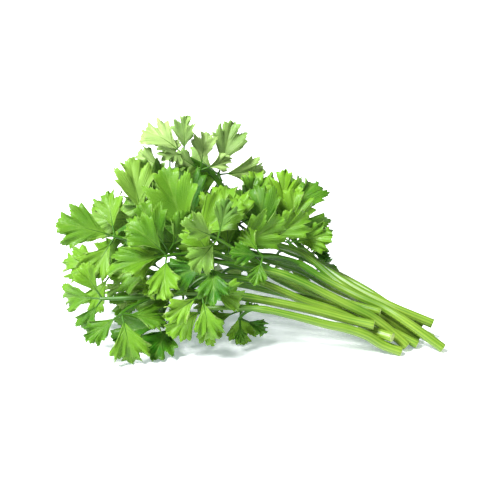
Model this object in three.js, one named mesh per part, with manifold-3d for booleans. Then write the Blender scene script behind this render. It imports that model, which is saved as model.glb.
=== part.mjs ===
// A bunch of fresh coriander lying on its side, as picked: twelve leafy stems with cut ends.
// Each leafy stem is one solid: a long stalk, thin side stalks and toothed, three-lobed leaflets in threes.
// Millimetres, +Z up. +X runs towards the cut ends, -Y is the front of the bunch, z = 0 is the surface it lies on.
import * as THREE from "three";
import { mergeVertices } from "three/addons/utils/BufferGeometryUtils.js";
import Module from "manifold-3d";

// Driving dimensions
const BLADE_THICKNESS = 0.8;
const LEAFLET_STALK = 7; // from the fork of a spray to the foot of a leaflet's blade
const LEAFLET_STALK_HALF = 0.6;
const LEAFLET_STALK_SINK = 0.5; // how far a leaflet's stalk reaches back past the fork
const FORK_DEPTH = 1.2; // how far the stalk that carries a spray reaches on past the fork
const WIDTH_SHARE = 0.47; // a blade's half width as a share of its length
const SIDE_SHARE = 0.86; // a side leaflet's length as a share of the end leaflet's
const SIDE_ANGLE = 68; // degrees between a side leaflet and the end leaflet
const SPRAY_STALK_ROOT = 1.5; // radius where a side stalk leaves its stem
const SPRAY_STALK_TIP = 1.3;
const STEM_TAPER = 1.8;
const STEM_SIDES = 7;
const STEM_STEPS = 10;
const STALK_SIDES = 4;
const STALK_STEPS = 3;
const SEED = 4206;

// One entry for each leafy stem, from the front of the bunch to the back.
// path runs from the cut end to the fork of the end spray. foot and neck are its radii at the two ends.
// Each spray is three leaflets: at is the share of the path where its stalk leaves the stem (1 for the end spray),
// fork is where the three meet, tip is the end leaflet's tip, and face is the way its upper side looks.
const STEMS = [
  {
    foot: 3.2,
    neck: 1.6,
    path: [[84, -52, 18], [50, -50, 28], [-3, -46, 38], [-42, -44, 41], [-76, -46, 38], [-104, -44, 36]],
    sprays: [
      { at: 1, fork: [-104, -44, 36], tip: [-137, -38, 44], face: [-0.2, -0.7, 0.7] },
      { at: 0.74, fork: [-78, -58, 32], tip: [-62, -66, 0], face: [0.2, -0.8, 0.5] },
      { at: 0.46, fork: [-33, -60, 48], tip: [-25, -74, 18], face: [0.1, -0.9, 0.4] },
    ],
  },
  {
    foot: 3.3,
    neck: 1.6,
    path: [[104, -57, 2.7], [75, -57, 17], [54, -57, 22], [31, -56, 28], [5, -54, 33], [-32, -50, 32]],
    sprays: [
      { at: 1, fork: [-32, -50, 32], tip: [-62, -62, 24], face: [-0.1, -0.7, 0.7] },
      { at: 0.84, fork: [-60, -38, 9], tip: [-100, -46, 0], face: [0, -0.3, 1] },
      { at: 0.7, fork: [-8, -42, 20], tip: [12, -48, 14], face: [0.1, -0.5, 0.9] },
    ],
  },
  {
    foot: 3.5,
    neck: 1.7,
    path: [
      [108, -53, 3.5], [84, -46, 22], [62, -43, 33], [46, -40, 41],
      [23, -37, 51], [-8, -32, 58], [-43, -20, 68],
    ],
    sprays: [
      { at: 1, fork: [-43, -20, 68], tip: [-66, -6, 118], face: [-0.1, -0.9, 0.3] },
      { at: 0.58, fork: [-22, -38, 78], tip: [-48, -46, 96], face: [0, -0.8, 0.6] },
      { at: 0.66, fork: [-28, -46, 62], tip: [-62, -60, 54], face: [0, -0.7, 0.7] },
      { at: 0.8, fork: [-58, -34, 66], tip: [-98, -48, 60], face: [-0.2, -0.7, 0.7] },
    ],
  },
  {
    foot: 3.2,
    neck: 1.5,
    path: [[96, -58, 11], [72, -45, 22], [38, -40, 32], [3, -36, 46], [-36, -30, 48], [-62, -30, 51]],
    sprays: [
      { at: 1, fork: [-62, -30, 51], tip: [-98, -44, 46], face: [-0.3, -0.6, 0.7] },
      { at: 0.78, fork: [-46, -42, 40], tip: [-80, -54, 40], face: [0, -0.7, 0.7] },
      { at: 0.7, fork: [-56, -28, 66], tip: [-76, -26, 100], face: [0.1, -0.9, 0.3] },
    ],
  },
  {
    foot: 3,
    neck: 1.5,
    path: [
      [116, -49, 3], [94, -39, 12], [72, -30, 20], [28, -25, 30],
      [3, -20, 34], [-44, -8, 38], [-101, -8, 40],
    ],
    sprays: [
      { at: 1, fork: [-101, -8, 40], tip: [-139, -2, 50], face: [-0.2, -0.7, 0.7] },
      { at: 0.82, fork: [-74, 20, 14], tip: [-108, 42, -2], face: [0, 0.1, 1] },
      { at: 0.6, fork: [-8, -20, 14], tip: [-40, -28, 8], face: [0, -0.3, 1] },
      { at: 0.72, fork: [-62, -22, 30], tip: [-96, -28, 22], face: [-0.1, -0.6, 0.8] },
    ],
  },
  {
    foot: 2.5,
    neck: 1.4,
    path: [
      [90, -42, 25], [69, -37, 29], [43, -32, 36], [25, -26, 43], [10, -22, 46],
      [-18, -14, 50], [-50, -12, 58], [-76, -18, 67], [-96, -20, 73],
    ],
    sprays: [
      { at: 1, fork: [-96, -20, 73], tip: [-137, -18, 83], face: [-0.1, -0.85, 0.5] },
      { at: 0.5, fork: [-24, -2, 30], tip: [-56, 6, 20], face: [0, -0.3, 0.9] },
      { at: 0.82, fork: [-78, 0, 76], tip: [-94, 10, 118], face: [0.1, -0.9, 0.3] },
    ],
  },
  {
    foot: 3.3,
    neck: 1.7,
    path: [
      [133, -54, 2.8], [106, -45, 20], [85, -35, 28], [54, -20, 39],
      [30, -13, 51], [8, -14, 56], [-16, -18, 59],
    ],
    sprays: [
      { at: 1, fork: [-16, -18, 59], tip: [-26, -6, 108], face: [0, -0.95, 0.2] },
      { at: 0.64, fork: [6, -34, 64], tip: [-18, -46, 68], face: [0, -0.8, 0.6] },
      { at: 0.8, fork: [-38, 16, 72], tip: [-54, 24, 114], face: [0, -0.9, 0.4] },
    ],
  },
  {
    foot: 3.3,
    neck: 1.7,
    path: [[118, -40, 3], [96, -35, 16], [76, -24, 27], [55, -8, 39], [35, 3, 52], [10, -2, 61]],
    sprays: [
      { at: 1, fork: [10, -2, 61], tip: [4, 6, 104], face: [0.2, -0.95, 0.2] },
      { at: 0.9, fork: [-8, 16, 67], tip: [-12, 22, 104], face: [0, -0.95, 0.2] },
      { at: 0.78, fork: [24, 8, 58], tip: [22, 6, 98], face: [0, -0.95, 0.3] },
    ],
  },
  {
    foot: 3.3,
    neck: 1.7,
    path: [[128, -36, 13], [100, -27, 22], [73, -12, 31], [49, 6, 42], [31, 18, 56], [22, 22, 68]],
    sprays: [
      { at: 1, fork: [22, 22, 68], tip: [56, 22, 100], face: [0.2, -0.9, 0.3] },
      { at: 0.9, fork: [6, 32, 68], tip: [4, 38, 104], face: [0, -0.9, 0.4] },
      { at: 0.76, fork: [40, 28, 42], tip: [54, 36, 58], face: [0.2, -0.6, 0.8] },
    ],
  },
  {
    foot: 3.1,
    neck: 1.5,
    path: [
      [123, -28, 9], [107, -22, 15], [88, -8, 23], [63, 14, 30],
      [48, 24, 34], [27, 38, 38], [4, 50, 42],
    ],
    sprays: [
      { at: 1, fork: [4, 50, 42], tip: [-8, 66, 82], face: [0, -0.5, 0.85] },
      { at: 0.58, fork: [46, 50, 24], tip: [70, 60, 20], face: [0.2, -0.3, 0.9] },
      { at: 0.8, fork: [20, 56, 18], tip: [36, 84, -2], face: [0, 0.2, 1] },
    ],
  },
  {
    foot: 3.2,
    neck: 1.5,
    path: [
      [110, -30, 3], [84, -12, 9], [57, 2, 14], [29, 14, 21], [3, 26, 34],
      [-10, 36, 54], [-17, 44, 75], [-24, 48, 92], [-50, 45, 112],
    ],
    sprays: [
      { at: 1, fork: [-50, 45, 112], tip: [-81, 46, 134], face: [-0.1, -0.7, 0.7] },
      { at: 0.84, fork: [-25, 46, 94], tip: [-16, 50, 135], face: [0.1, -0.95, 0.2] },
      { at: 0.92, fork: [-60, 40, 102], tip: [-88, 38, 112], face: [-0.2, -0.9, 0.4] },
      { at: 0.88, fork: [-36, 40, 98], tip: [-34, 38, 128], face: [0, -0.95, 0.3] },
      { at: 0.74, fork: [-56, 38, 84], tip: [-78, 43, 118], face: [-0.1, -0.9, 0.4] },
      { at: 0.56, fork: [-30, 30, 54], tip: [-66, 26, 70], face: [-0.1, -0.7, 0.7] },
    ],
  },
  {
    foot: 3.2,
    neck: 1.5,
    path: [
      [128, -40, 3], [102, -18, 10], [82, 0, 14], [58, 16, 19],
      [37, 30, 26], [5, 42, 31], [-38, 44, 42], [-69, 45, 50],
    ],
    sprays: [
      { at: 1, fork: [-69, 45, 50], tip: [-104, 56, 80], face: [0, -0.7, 0.7] },
      { at: 0.84, fork: [-39, 56, 58], tip: [-46, 72, 94], face: [0, -0.6, 0.8] },
      { at: 0.93, fork: [-90, 28, 50], tip: [-128, 36, 68], face: [0, -0.7, 0.7] },
      { at: 0.75, fork: [-37, 48, 14], tip: [-54, 84, -2], face: [0, 0.2, 1] },
    ],
  },
];

// Settling: how far apart the pieces of different stems are kept, and how they give way
const BLADE_REACH = 3; // half the distance kept between two blades' sample points
const STALK_REACH = 2.8;
const STEM_REACH = 3.8;
const STEM_REACH_MARGIN = 1.2; // what a thick stem keeps clear round its own radius
const SAMPLE_SPACING = 6.5;
const STEM_GAP = 1;
const STEM_SINK = 0.7; // how deep the lowest stems press into the surface, where they are cut flat
const BLADE_SINK = 0.3; // the same for the lowest blades
const LINE_STEP = 4;
const CELL = 8;
const STEM_ROUNDS = 120;
const STEM_EASE = 0.7; // the share of its push that a stem gives way to in a round
const SETTLE_ROUNDS = 200;
const GROWN_BY = 120; // the leaflets grow from a bud's size to their full size over these rounds
const BUD_SHARE = 0.25;
const FREE_NEAR_FORK = 12; // leaflets of one stem may touch this close to their fork
const TURN_GAIN = 1.3;
const SHORT_ARM = 14;
const MOST_TURN = 0.15;
const SHIFT_GAIN = 0.8;
const HOME_PULL = 0.015; // draws forks and leaflets back to where they were placed
const PULL_UNTIL = 0.8; // the share of the rounds with that pull
const MOST_SHIFT = 1.2;
const STALK_SAMPLES = [0.2, 0.35, 0.5, 0.65, 0.8, 0.92]; // shares of a side stalk that stand for it
const STALK_BEND = 0.45; // how far along a side stalk keeps its stem's way, as a share of its reach
const CELLS_AROUND = [-1, 0, 1];

// Half of a leaflet's blade, as shares of its half width and its length: the midrib, then the toothed edge
const MIDRIB = [[0, 0], [0, 0.3], [0, 0.56], [0, 0.8], [0, 1]];
const EDGE = [[0.5, 0.28], [1, 0.54], [0.78, 0.62], [0.84, 0.82], [0.34, 0.74], [0.5, 0.93], [0.24, 0.89]];
// Triangles of that half: 0 to 4 are the midrib, 5 is the foot's corner, 6 to 12 are the edge
const HALF_FACES = [
  [0, 5, 1], [5, 6, 1], [1, 6, 2], [6, 8, 2], [6, 7, 8], [2, 8, 10], [8, 9, 10], [2, 10, 3], [10, 11, 12],
  [10, 12, 3], [3, 12, 4],
];
const WAVES = 5; // how closely the edge waves follow each other, in radians of wave for each radian round the foot
// How wide the blade is along its length, for the sample points
const WIDTHS = [[0, 0], [0.28, 0.5], [0.54, 0.97], [0.8, 0.9], [0.93, 0.5], [1, 0.12]];

const radians = (degrees) => (degrees * Math.PI) / 180;
const vector = (p) => new THREE.Vector3(...p);

// The minimal standard generator, so that every run draws the same numbers
function drawer(seed) {
  let state = seed;
  return (low, high) => {
    state = (state * 16807) % 2147483647;
    return low + ((high - low) * state) / 2147483647;
  };
}

// A leaflet's flat point (across, along) carried onto its bent blade, in the leaflet's own axes:
// x across, y along, z up from the upper side. It folds along the midrib, arches over, twists and waves at its edge.
function bentPoint(leaflet, across, along) {
  const { length, fold, arch, twist, wave, phase } = leaflet;
  const share = Math.max(along, 0) / length;
  const side = Math.abs(across);
  const rim = (across * across + along * along) / (length * length);
  const fan = Math.sin(phase + WAVES * Math.atan2(across, Math.max(along, 0.001)));
  const lift = side * Math.sin(fold) + wave * length * rim * fan;
  const turn = twist * share;
  const x = across * Math.cos(fold) * Math.cos(turn) - lift * Math.sin(turn);
  const z = across * Math.cos(fold) * Math.sin(turn) + lift * Math.cos(turn);
  const bend = arch * share;
  const radius = length / arch;
  const y = along < 0 ? along : radius * Math.sin(bend);
  const sag = radius * (1 - Math.cos(bend));
  return new THREE.Vector3(x, LEAFLET_STALK + y + z * Math.sin(bend), z * Math.cos(bend) - sag);
}

// Axes of a leaflet that points along heading with its upper side towards face
function turnTo(heading, face) {
  const y = heading.clone().normalize();
  const x = new THREE.Vector3().crossVectors(y, face).normalize();
  const z = new THREE.Vector3().crossVectors(x, y);
  return new THREE.Matrix4().makeBasis(x, y, z);
}

function leafletsOf(spray, draw) {
  const heading = vector(spray.tip).sub(vector(spray.fork));
  const face = vector(spray.face).normalize();
  const full = heading.length() - LEAFLET_STALK;
  return [0, 1, -1].map((side) => {
    const swing = radians(side * (SIDE_ANGLE + draw(-10, 10)));
    const tilt = radians(draw(-14, 14));
    const roll = radians(draw(-18, 18));
    const aim = heading.clone().applyAxisAngle(face, swing).normalize();
    const across = new THREE.Vector3().crossVectors(aim, face).normalize();
    aim.applyAxisAngle(across, tilt);
    const up = face.clone().applyAxisAngle(across, tilt).applyAxisAngle(aim, roll);
    return {
      turn: turnTo(aim, up),
      length: full * (side === 0 ? 1 : SIDE_SHARE * draw(0.88, 1.05)),
      breadth: WIDTH_SHARE * draw(0.9, 1.12),
      fold: radians(draw(4, 24)),
      arch: radians(draw(10, 60)),
      twist: radians(draw(-18, 18)),
      wave: draw(0.02, 0.06),
      phase: draw(0, 6.28),
    };
  });
}

function widthAt(share) {
  const k = Math.max(1, WIDTHS.findIndex(([s]) => s >= share));
  const [s0, w0] = WIDTHS[k - 1];
  const [s1, w1] = WIDTHS[k];
  return w0 + ((w1 - w0) * (share - s0)) / (s1 - s0);
}

// Points over a leaflet's blade and stalk, in its own axes, that stand for it while the bunch settles
function samplesOf(leaflet) {
  const points = [new THREE.Vector3(0, LEAFLET_STALK * 0.5, 0), new THREE.Vector3(0, LEAFLET_STALK, 0)];
  const rows = Math.ceil(leaflet.length / SAMPLE_SPACING);
  for (let row = 1; row <= rows; row += 1) {
    const share = row / rows;
    const half = widthAt(share) * leaflet.breadth * leaflet.length;
    const steps = Math.ceil(half / SAMPLE_SPACING);
    for (let step = -steps; step <= steps; step += 1) {
      points.push(bentPoint(leaflet, (half * step) / steps, share * leaflet.length));
    }
  }
  return points;
}

function polylineLength(points) {
  let total = 0;
  for (let i = 1; i < points.length; i += 1) total += points[i].distanceTo(points[i - 1]);
  return total;
}

function stemWay(line, m) {
  const last = line.length - 1;
  return new THREE.Vector3().subVectors(line[Math.min(m + 1, last)], line[Math.max(m - 1, 0)]).normalize();
}

// Moves the stems aside where they would run through each other, and keeps them above the surface
function spreadStems(stems) {
  for (let round = 0; round < STEM_ROUNDS; round += 1) {
    const moves = stems.map((stem) => stem.line.map(() => new THREE.Vector3()));
    stems.forEach((a, i) => {
      stems.slice(i + 1).forEach((b, j) => {
        a.line.forEach((p, m) => {
          b.line.forEach((q, n) => {
            const apart = new THREE.Vector3().subVectors(p, q);
            const near = a.radii[m] + b.radii[n] + STEM_GAP - apart.length();
            if (near <= 0) return;
            apart.projectOnPlane(stemWay(a.line, m)).normalize().multiplyScalar(near * 0.5);
            moves[i][m].add(apart);
            moves[i + 1 + j][n].sub(apart);
          });
        });
      });
    });
    stems.forEach((stem, i) => {
      const eased = moves[i].map((move, m) => {
        const around = [moves[i][Math.max(m - 1, 0)], moves[i][Math.min(m + 1, moves[i].length - 1)]];
        return move.clone().multiplyScalar(0.5).addScaledVector(around[0], 0.25).addScaledVector(around[1], 0.25);
      });
      stem.line.forEach((p, m) => {
        p.addScaledVector(eased[m], STEM_EASE);
        p.z = Math.max(p.z, stem.radii[m] - STEM_SINK);
      });
    });
  }
}

function layOut() {
  const draw = drawer(SEED);
  const stems = STEMS.map((stem) => {
    const curve = new THREE.CatmullRomCurve3(stem.path.map(vector), false, "centripetal");
    const steps = Math.round(curve.getLength() / LINE_STEP);
    const line = curve.getSpacedPoints(steps);
    const radii = line.map((_, m) => stem.foot + (stem.neck - stem.foot) * (m / steps) ** STEM_TAPER);
    return { line, radii };
  });
  spreadStems(stems);
  const sprays = [];
  STEMS.forEach((stem, s) => {
    stem.sprays.forEach((spray) => {
      const { line } = stems[s];
      const k = Math.round(spray.at * (line.length - 1));
      const ends = spray.at === 1;
      const along = line[k].clone().sub(line[Math.max(k - 2, 0)]).normalize();
      const fork = ends ? line[k].clone().addScaledVector(along, -FORK_DEPTH) : vector(spray.fork);
      const leaflets = leafletsOf(spray, draw);
      leaflets.forEach((leaflet) => {
        leaflet.samples = samplesOf(leaflet);
        leaflet.home = leaflet.turn.clone();
      });
      sprays.push({ stem: s, ends, k, root: line[k], along, fork, home: fork.clone(), leaflets });
    });
  });
  return { stems, sprays };
}

// A side stalk leaves its stem along the stem's own way and bends round to its fork
function stalkCurve(spray) {
  const reach = spray.root.distanceTo(spray.fork);
  const elbow = spray.root.clone().addScaledVector(spray.along, reach * STALK_BEND);
  const way = new THREE.Vector3().subVectors(spray.fork, elbow).normalize();
  const end = spray.fork.clone().addScaledVector(way, FORK_DEPTH);
  return new THREE.QuadraticBezierCurve3(spray.root, elbow, end);
}

// Lets the leaflets grow from buds to their full size. They turn about their forks, and the forks give way,
// so that no blade runs through a blade, a stalk or a stem.
function settle({ stems, sprays }) {
  const fixed = [];
  stems.forEach((stem, s) => {
    stem.line.forEach((point, m) => {
      fixed.push({ point, reach: Math.max(STEM_REACH, stem.radii[m] + STEM_REACH_MARGIN), stem: s, spray: -1 });
    });
  });
  for (let round = 0; round < SETTLE_ROUNDS; round += 1) {
    const grown = Math.min(1, BUD_SHARE + ((1 - BUD_SHARE) * round) / GROWN_BY);
    const pull = round < SETTLE_ROUNDS * PULL_UNTIL ? HOME_PULL : 0;
    const points = [...fixed];
    sprays.forEach((spray, g) => {
      if (!spray.ends) {
        const curve = stalkCurve(spray);
        STALK_SAMPLES.forEach((t) => {
          const point = curve.getPoint(t);
          const push = new THREE.Vector3();
          points.push({ point, reach: STALK_REACH, stem: spray.stem, spray: g, stalk: t, push, depth: 0 });
        });
      }
      spray.leaflets.forEach((leaflet) => {
        leaflet.samples.forEach((sample, m) => {
          const arm = sample.clone().applyMatrix4(leaflet.turn).multiplyScalar(grown);
          const reach = m < 2 ? STALK_REACH : BLADE_REACH;
          const near = arm.length() < FREE_NEAR_FORK;
          const push = new THREE.Vector3();
          const point = spray.fork.clone().add(arm);
          points.push({ point, arm, reach, near, stem: spray.stem, spray: g, leaflet, push, depth: 0 });
        });
      });
    });
    pushApart(points);
    points.forEach((p) => {
      if (!p.push) return;
      const under = BLADE_THICKNESS / 2 - BLADE_SINK - p.point.z;
      if (under > 0) addPush(p, new THREE.Vector3(0, 0, under), under);
    });
    giveWay(points, sprays, pull);
  }
}

function pushApart(points) {
  const cells = new Map();
  const key = (x, y, z) => x * 1e6 + y * 1e3 + z;
  const cellOf = (p) => [p.x, p.y, p.z].map((c) => Math.floor(c / CELL) + 100);
  points.forEach((p, i) => {
    const k = key(...cellOf(p.point));
    if (!cells.has(k)) cells.set(k, []);
    cells.get(k).push(i);
  });
  points.forEach((p, i) => {
    const [x, y, z] = cellOf(p.point);
    CELLS_AROUND.forEach((dx) => {
      CELLS_AROUND.forEach((dy) => {
        CELLS_AROUND.forEach((dz) => {
          const others = cells.get(key(x + dx, y + dy, z + dz)) ?? [];
          others.filter((j) => j > i && mayTouch(p, points[j])).forEach((j) => pushPair(p, points[j]));
        });
      });
    });
  });
}

function pushPair(p, q) {
  const apart = new THREE.Vector3().subVectors(p.point, q.point);
  const far = apart.length();
  const near = p.reach + q.reach - far;
  if (near <= 0 || far < 1e-6) return;
  const share = p.push && q.push ? 0.5 : 1;
  apart.multiplyScalar((near * share) / far);
  if (p.push) addPush(p, apart, near);
  if (q.push) addPush(q, apart.negate(), near);
}

// Deeper contacts count for more, so that a contact that only just begins changes nothing suddenly
function addPush(p, move, depth) {
  p.push.addScaledVector(move, depth);
  p.depth += depth;
}

function mayTouch(p, q) {
  if (!p.push && !q.push) return false;
  if (p.stem !== q.stem) return true;
  if (p.leaflet && p.leaflet === q.leaflet) return false;
  if (p.near || q.near) return false;
  if (p.spray === q.spray && (!p.leaflet || !q.leaflet)) return false;
  return Boolean(p.leaflet || q.leaflet);
}

function giveWay(points, sprays, pull) {
  const turns = new Map();
  const shifts = sprays.map(() => ({ push: new THREE.Vector3(), depth: 0 }));
  points.forEach((p) => {
    if (!p.push || !p.depth) return;
    const mean = p.push.clone().divideScalar(p.depth);
    const shift = shifts[p.spray];
    shift.push.addScaledVector(mean, p.depth * (p.leaflet ? 1 : p.stalk));
    shift.depth += p.depth;
    if (!p.leaflet) return;
    if (!turns.has(p.leaflet)) turns.set(p.leaflet, { moment: new THREE.Vector3(), arms: 0 });
    const turn = turns.get(p.leaflet);
    turn.moment.addScaledVector(new THREE.Vector3().crossVectors(p.arm, mean), p.depth);
    turn.arms += p.depth * Math.max(p.arm.lengthSq(), SHORT_ARM ** 2);
  });
  sprays.forEach((spray, g) => {
    if (!spray.ends) {
      const { push, depth } = shifts[g];
      if (depth) spray.fork.add(push.multiplyScalar(SHIFT_GAIN / depth).clampLength(0, MOST_SHIFT));
      spray.fork.lerp(spray.home, pull);
    }
    spray.leaflets.forEach((leaflet) => {
      const spin = new THREE.Vector3();
      const turn = turns.get(leaflet);
      if (turn) spin.copy(turn.moment).multiplyScalar(TURN_GAIN / turn.arms);
      axesOf(leaflet.turn).forEach((axis, a) => {
        spin.addScaledVector(axis.cross(axesOf(leaflet.home)[a]), pull * 0.5);
      });
      const angle = Math.min(spin.length(), MOST_TURN);
      if (angle > 0) leaflet.turn.premultiply(new THREE.Matrix4().makeRotationAxis(spin.normalize(), angle));
    });
  });
}

function axesOf(turn) {
  const axes = [new THREE.Vector3(), new THREE.Vector3(), new THREE.Vector3()];
  turn.extractBasis(...axes);
  return axes;
}

// A closed tube: a cylinder bent along a curve, with the radius that radiusAt gives
function tube(curve, sides, steps, radiusAt) {
  const geometry = new THREE.CylinderGeometry(1, 1, 1, sides, steps);
  const frames = curve.computeFrenetFrames(steps, false);
  const position = geometry.getAttribute("position");
  for (let i = 0; i < position.count; i += 1) {
    const share = 0.5 - position.getY(i);
    const k = Math.round(share * steps);
    const radius = radiusAt(share);
    const p = curve.getPointAt(share)
      .addScaledVector(frames.normals[k], position.getX(i) * radius)
      .addScaledVector(frames.binormals[k], position.getZ(i) * radius);
    position.setXYZ(i, p.x, p.y, p.z);
  }
  return geometry;
}

// A leaflet: its blade with a foot that narrows into a stalk, both faces split into triangles alike
function leafletGeometry(leaflet) {
  const { length, breadth } = leaflet;
  const half = breadth * length;
  const foot = LEAFLET_STALK_HALF / half;
  const start = -(LEAFLET_STALK + LEAFLET_STALK_SINK) / length;
  const flat = [];
  const place = (x, y) => {
    flat.push([x * half, y * length]);
    return flat.length - 1;
  };
  const midrib = MIDRIB.map(([x, y]) => place(x, y));
  const edge = (sign) => [place(sign * foot, 0), ...EDGE.map(([x, y]) => place(sign * x, y))];
  const sides = [1, -1].map((sign) => [...midrib, ...edge(sign)]);
  const root = [place(foot, start), place(-foot, start)];
  const faces = HALF_FACES.flatMap(([a, b, c]) => {
    const [right, left] = sides;
    return [[right[a], right[b], right[c]], [left[a], left[c], left[b]]];
  });
  const [cornerRight, cornerLeft] = sides.map((side) => side[midrib.length]);
  faces.push([root[0], cornerRight, midrib[0]], [root[1], root[0], midrib[0]], [root[1], midrib[0], cornerLeft]);
  const middle = flat.map(([x, y]) => bentPoint(leaflet, x, y));
  const normals = flat.map(() => new THREE.Vector3());
  faces.forEach((face) => {
    const [a, b, c] = face.map((k) => middle[k]);
    const normal = new THREE.Vector3().crossVectors(b.clone().sub(a), c.clone().sub(a));
    face.forEach((k) => normals[k].add(normal));
  });
  const [edgeRight, edgeLeft] = sides.map((side) => side.slice(midrib.length));
  const rim = [root[1], root[0], ...edgeRight, midrib[midrib.length - 1], ...edgeLeft.reverse()];
  const vertices = [];
  [1, -1].forEach((side) => middle.forEach((p, k) => {
    vertices.push(...p.clone().addScaledVector(normals[k].normalize(), (side * BLADE_THICKNESS) / 2).toArray());
  }));
  const under = flat.length;
  const index = faces.flatMap(([a, b, c]) => [a, b, c, under + a, under + c, under + b]);
  rim.forEach((a, k) => {
    const b = rim[(k + 1) % rim.length];
    index.push(a, under + a, b, b, under + a, under + b);
  });
  const geometry = new THREE.BufferGeometry();
  geometry.setAttribute("position", new THREE.Float32BufferAttribute(vertices, 3));
  geometry.setIndex(index);
  return geometry;
}

const wasm = await Module();
wasm.setup();

function solidOf(geometry) {
  const bare = geometry.clone();
  bare.deleteAttribute("normal");
  bare.deleteAttribute("uv");
  const merged = mergeVertices(bare, 1e-4);
  const solid = new wasm.Manifold(new wasm.Mesh({
    numProp: 3,
    vertProperties: merged.getAttribute("position").array,
    triVerts: new Uint32Array(merged.index.array),
  }));
  if (solid.volume() < 0) throw new Error("a solid is inside out");
  return solid;
}

function geometryOf(solid) {
  const { numProp, vertProperties, triVerts } = solid.getMesh();
  const geometry = new THREE.BufferGeometry();
  const position = new THREE.InterleavedBuffer(vertProperties, numProp);
  geometry.setAttribute("position", new THREE.InterleavedBufferAttribute(position, 3, 0));
  geometry.setIndex(new THREE.BufferAttribute(triVerts, 1));
  return geometry;
}

// One leafy stem as a single solid, cut flat where it presses on the surface
function leafyStem(stem, sprays, ground) {
  const last = stem.line.length - 1;
  const curve = new THREE.CatmullRomCurve3(stem.line, false, "centripetal");
  const radiusAt = (share) => stem.radii[Math.round(share * last)];
  const solids = [solidOf(tube(curve, STEM_SIDES, STEM_STEPS, radiusAt))];
  sprays.forEach((spray) => {
    if (!spray.ends) {
      const taper = (share) => SPRAY_STALK_ROOT + (SPRAY_STALK_TIP - SPRAY_STALK_ROOT) * share;
      solids.push(solidOf(tube(stalkCurve(spray), STALK_SIDES, STALK_STEPS, taper)));
    }
    spray.leaflets.forEach((leaflet) => {
      const place = leaflet.turn.clone().setPosition(spray.fork);
      solids.push(solidOf(leafletGeometry(leaflet).applyMatrix4(place)));
    });
  });
  const joined = solids.reduce((whole, solid) => whole.add(solid));
  return joined.subtract(ground);
}

const GREENS = [0x5f9e26, 0x6fae2c, 0x7cba38, 0x569322, 0x68a62a, 0x83c040];

const layout = layOut();
settle(layout);
const ground = solidOf(new THREE.BoxGeometry(600, 600, 40).translate(0, 0, -20));
const bunch = new THREE.Group();
layout.stems.forEach((stem, s) => {
  const solid = leafyStem(stem, layout.sprays.filter((spray) => spray.stem === s), ground);
  const colour = GREENS[s % GREENS.length];
  const mesh = new THREE.Mesh(
    geometryOf(solid),
    new THREE.MeshStandardMaterial({ color: colour, roughness: 0.55, metalness: 0 }),
  );
  mesh.name = `leafy_stem_${String(s + 1).padStart(2, "0")}`;
  bunch.add(mesh);
});

// The origin is the middle of the bunch's footprint on the surface
const box = new THREE.Box3().setFromObject(bunch);
bunch.children.forEach((mesh) => {
  mesh.position.set(-(box.min.x + box.max.x) / 2, -(box.min.y + box.max.y) / 2, -box.min.z);
});

export default bunch;
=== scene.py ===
"""Dresses a bunch of fresh coriander: ribbed stalks, toothed and veined leaflets, a pale floor, soft light.

The solids of the frame hold where every stalk and leaflet lies. The same places are worked out here from the
same paths and forks, so that each fine leaflet lies on the plain one that it stands for.
"""
import math
from functools import lru_cache

import bpy
import numpy as np
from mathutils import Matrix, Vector


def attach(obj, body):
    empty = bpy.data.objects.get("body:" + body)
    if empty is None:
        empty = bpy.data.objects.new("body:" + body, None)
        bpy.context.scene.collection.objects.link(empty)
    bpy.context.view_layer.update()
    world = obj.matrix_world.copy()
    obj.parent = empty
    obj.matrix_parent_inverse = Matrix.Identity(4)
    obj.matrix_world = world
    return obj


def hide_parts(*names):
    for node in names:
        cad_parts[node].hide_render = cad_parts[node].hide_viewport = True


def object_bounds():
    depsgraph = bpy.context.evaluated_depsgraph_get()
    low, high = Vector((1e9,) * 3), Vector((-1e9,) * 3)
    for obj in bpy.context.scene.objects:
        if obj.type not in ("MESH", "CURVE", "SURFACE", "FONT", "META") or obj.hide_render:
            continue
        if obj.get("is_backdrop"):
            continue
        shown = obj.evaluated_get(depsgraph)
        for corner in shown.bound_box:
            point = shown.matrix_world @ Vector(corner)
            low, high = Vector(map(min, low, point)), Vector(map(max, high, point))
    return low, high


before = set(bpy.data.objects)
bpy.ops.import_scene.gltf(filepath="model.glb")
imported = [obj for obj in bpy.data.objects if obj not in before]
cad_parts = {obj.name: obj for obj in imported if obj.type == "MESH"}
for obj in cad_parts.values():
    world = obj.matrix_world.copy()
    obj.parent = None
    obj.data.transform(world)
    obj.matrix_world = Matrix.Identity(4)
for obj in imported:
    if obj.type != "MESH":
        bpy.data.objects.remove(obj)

CAD_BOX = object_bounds()

bl_info = {
    "name": "Coriander Bunch",
    "version": (1, 0, 0),
    "blender": (4, 5, 0),
    "location": "3D Viewport > Sidebar > Coriander",
    "description": "Makes the stalks and leaves of a bunch of coriander around its solids",
    "category": "Object",
}

MILLIMETRE = 0.001
BODY = "root"

# Driving sizes in millimetres, as in the solids
LEAFLET_STALK = 7
FORK_DEPTH = 1.2
WIDTH_SHARE = 0.47
SIDE_SHARE = 0.86
SIDE_ANGLE = 68
SPRAY_STALK_ROOT = 1.5
SPRAY_STALK_TIP = 1.3
STEM_TAPER = 1.8
SEED = 4206


def spray_at(share, fork, tip, face):
    """A spray of three leaflets: the share of the stem's path where it leaves, its fork, the end leaflet's
    tip and the way its upper side looks"""
    return {"at": share, "fork": fork, "tip": tip, "face": face}


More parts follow.
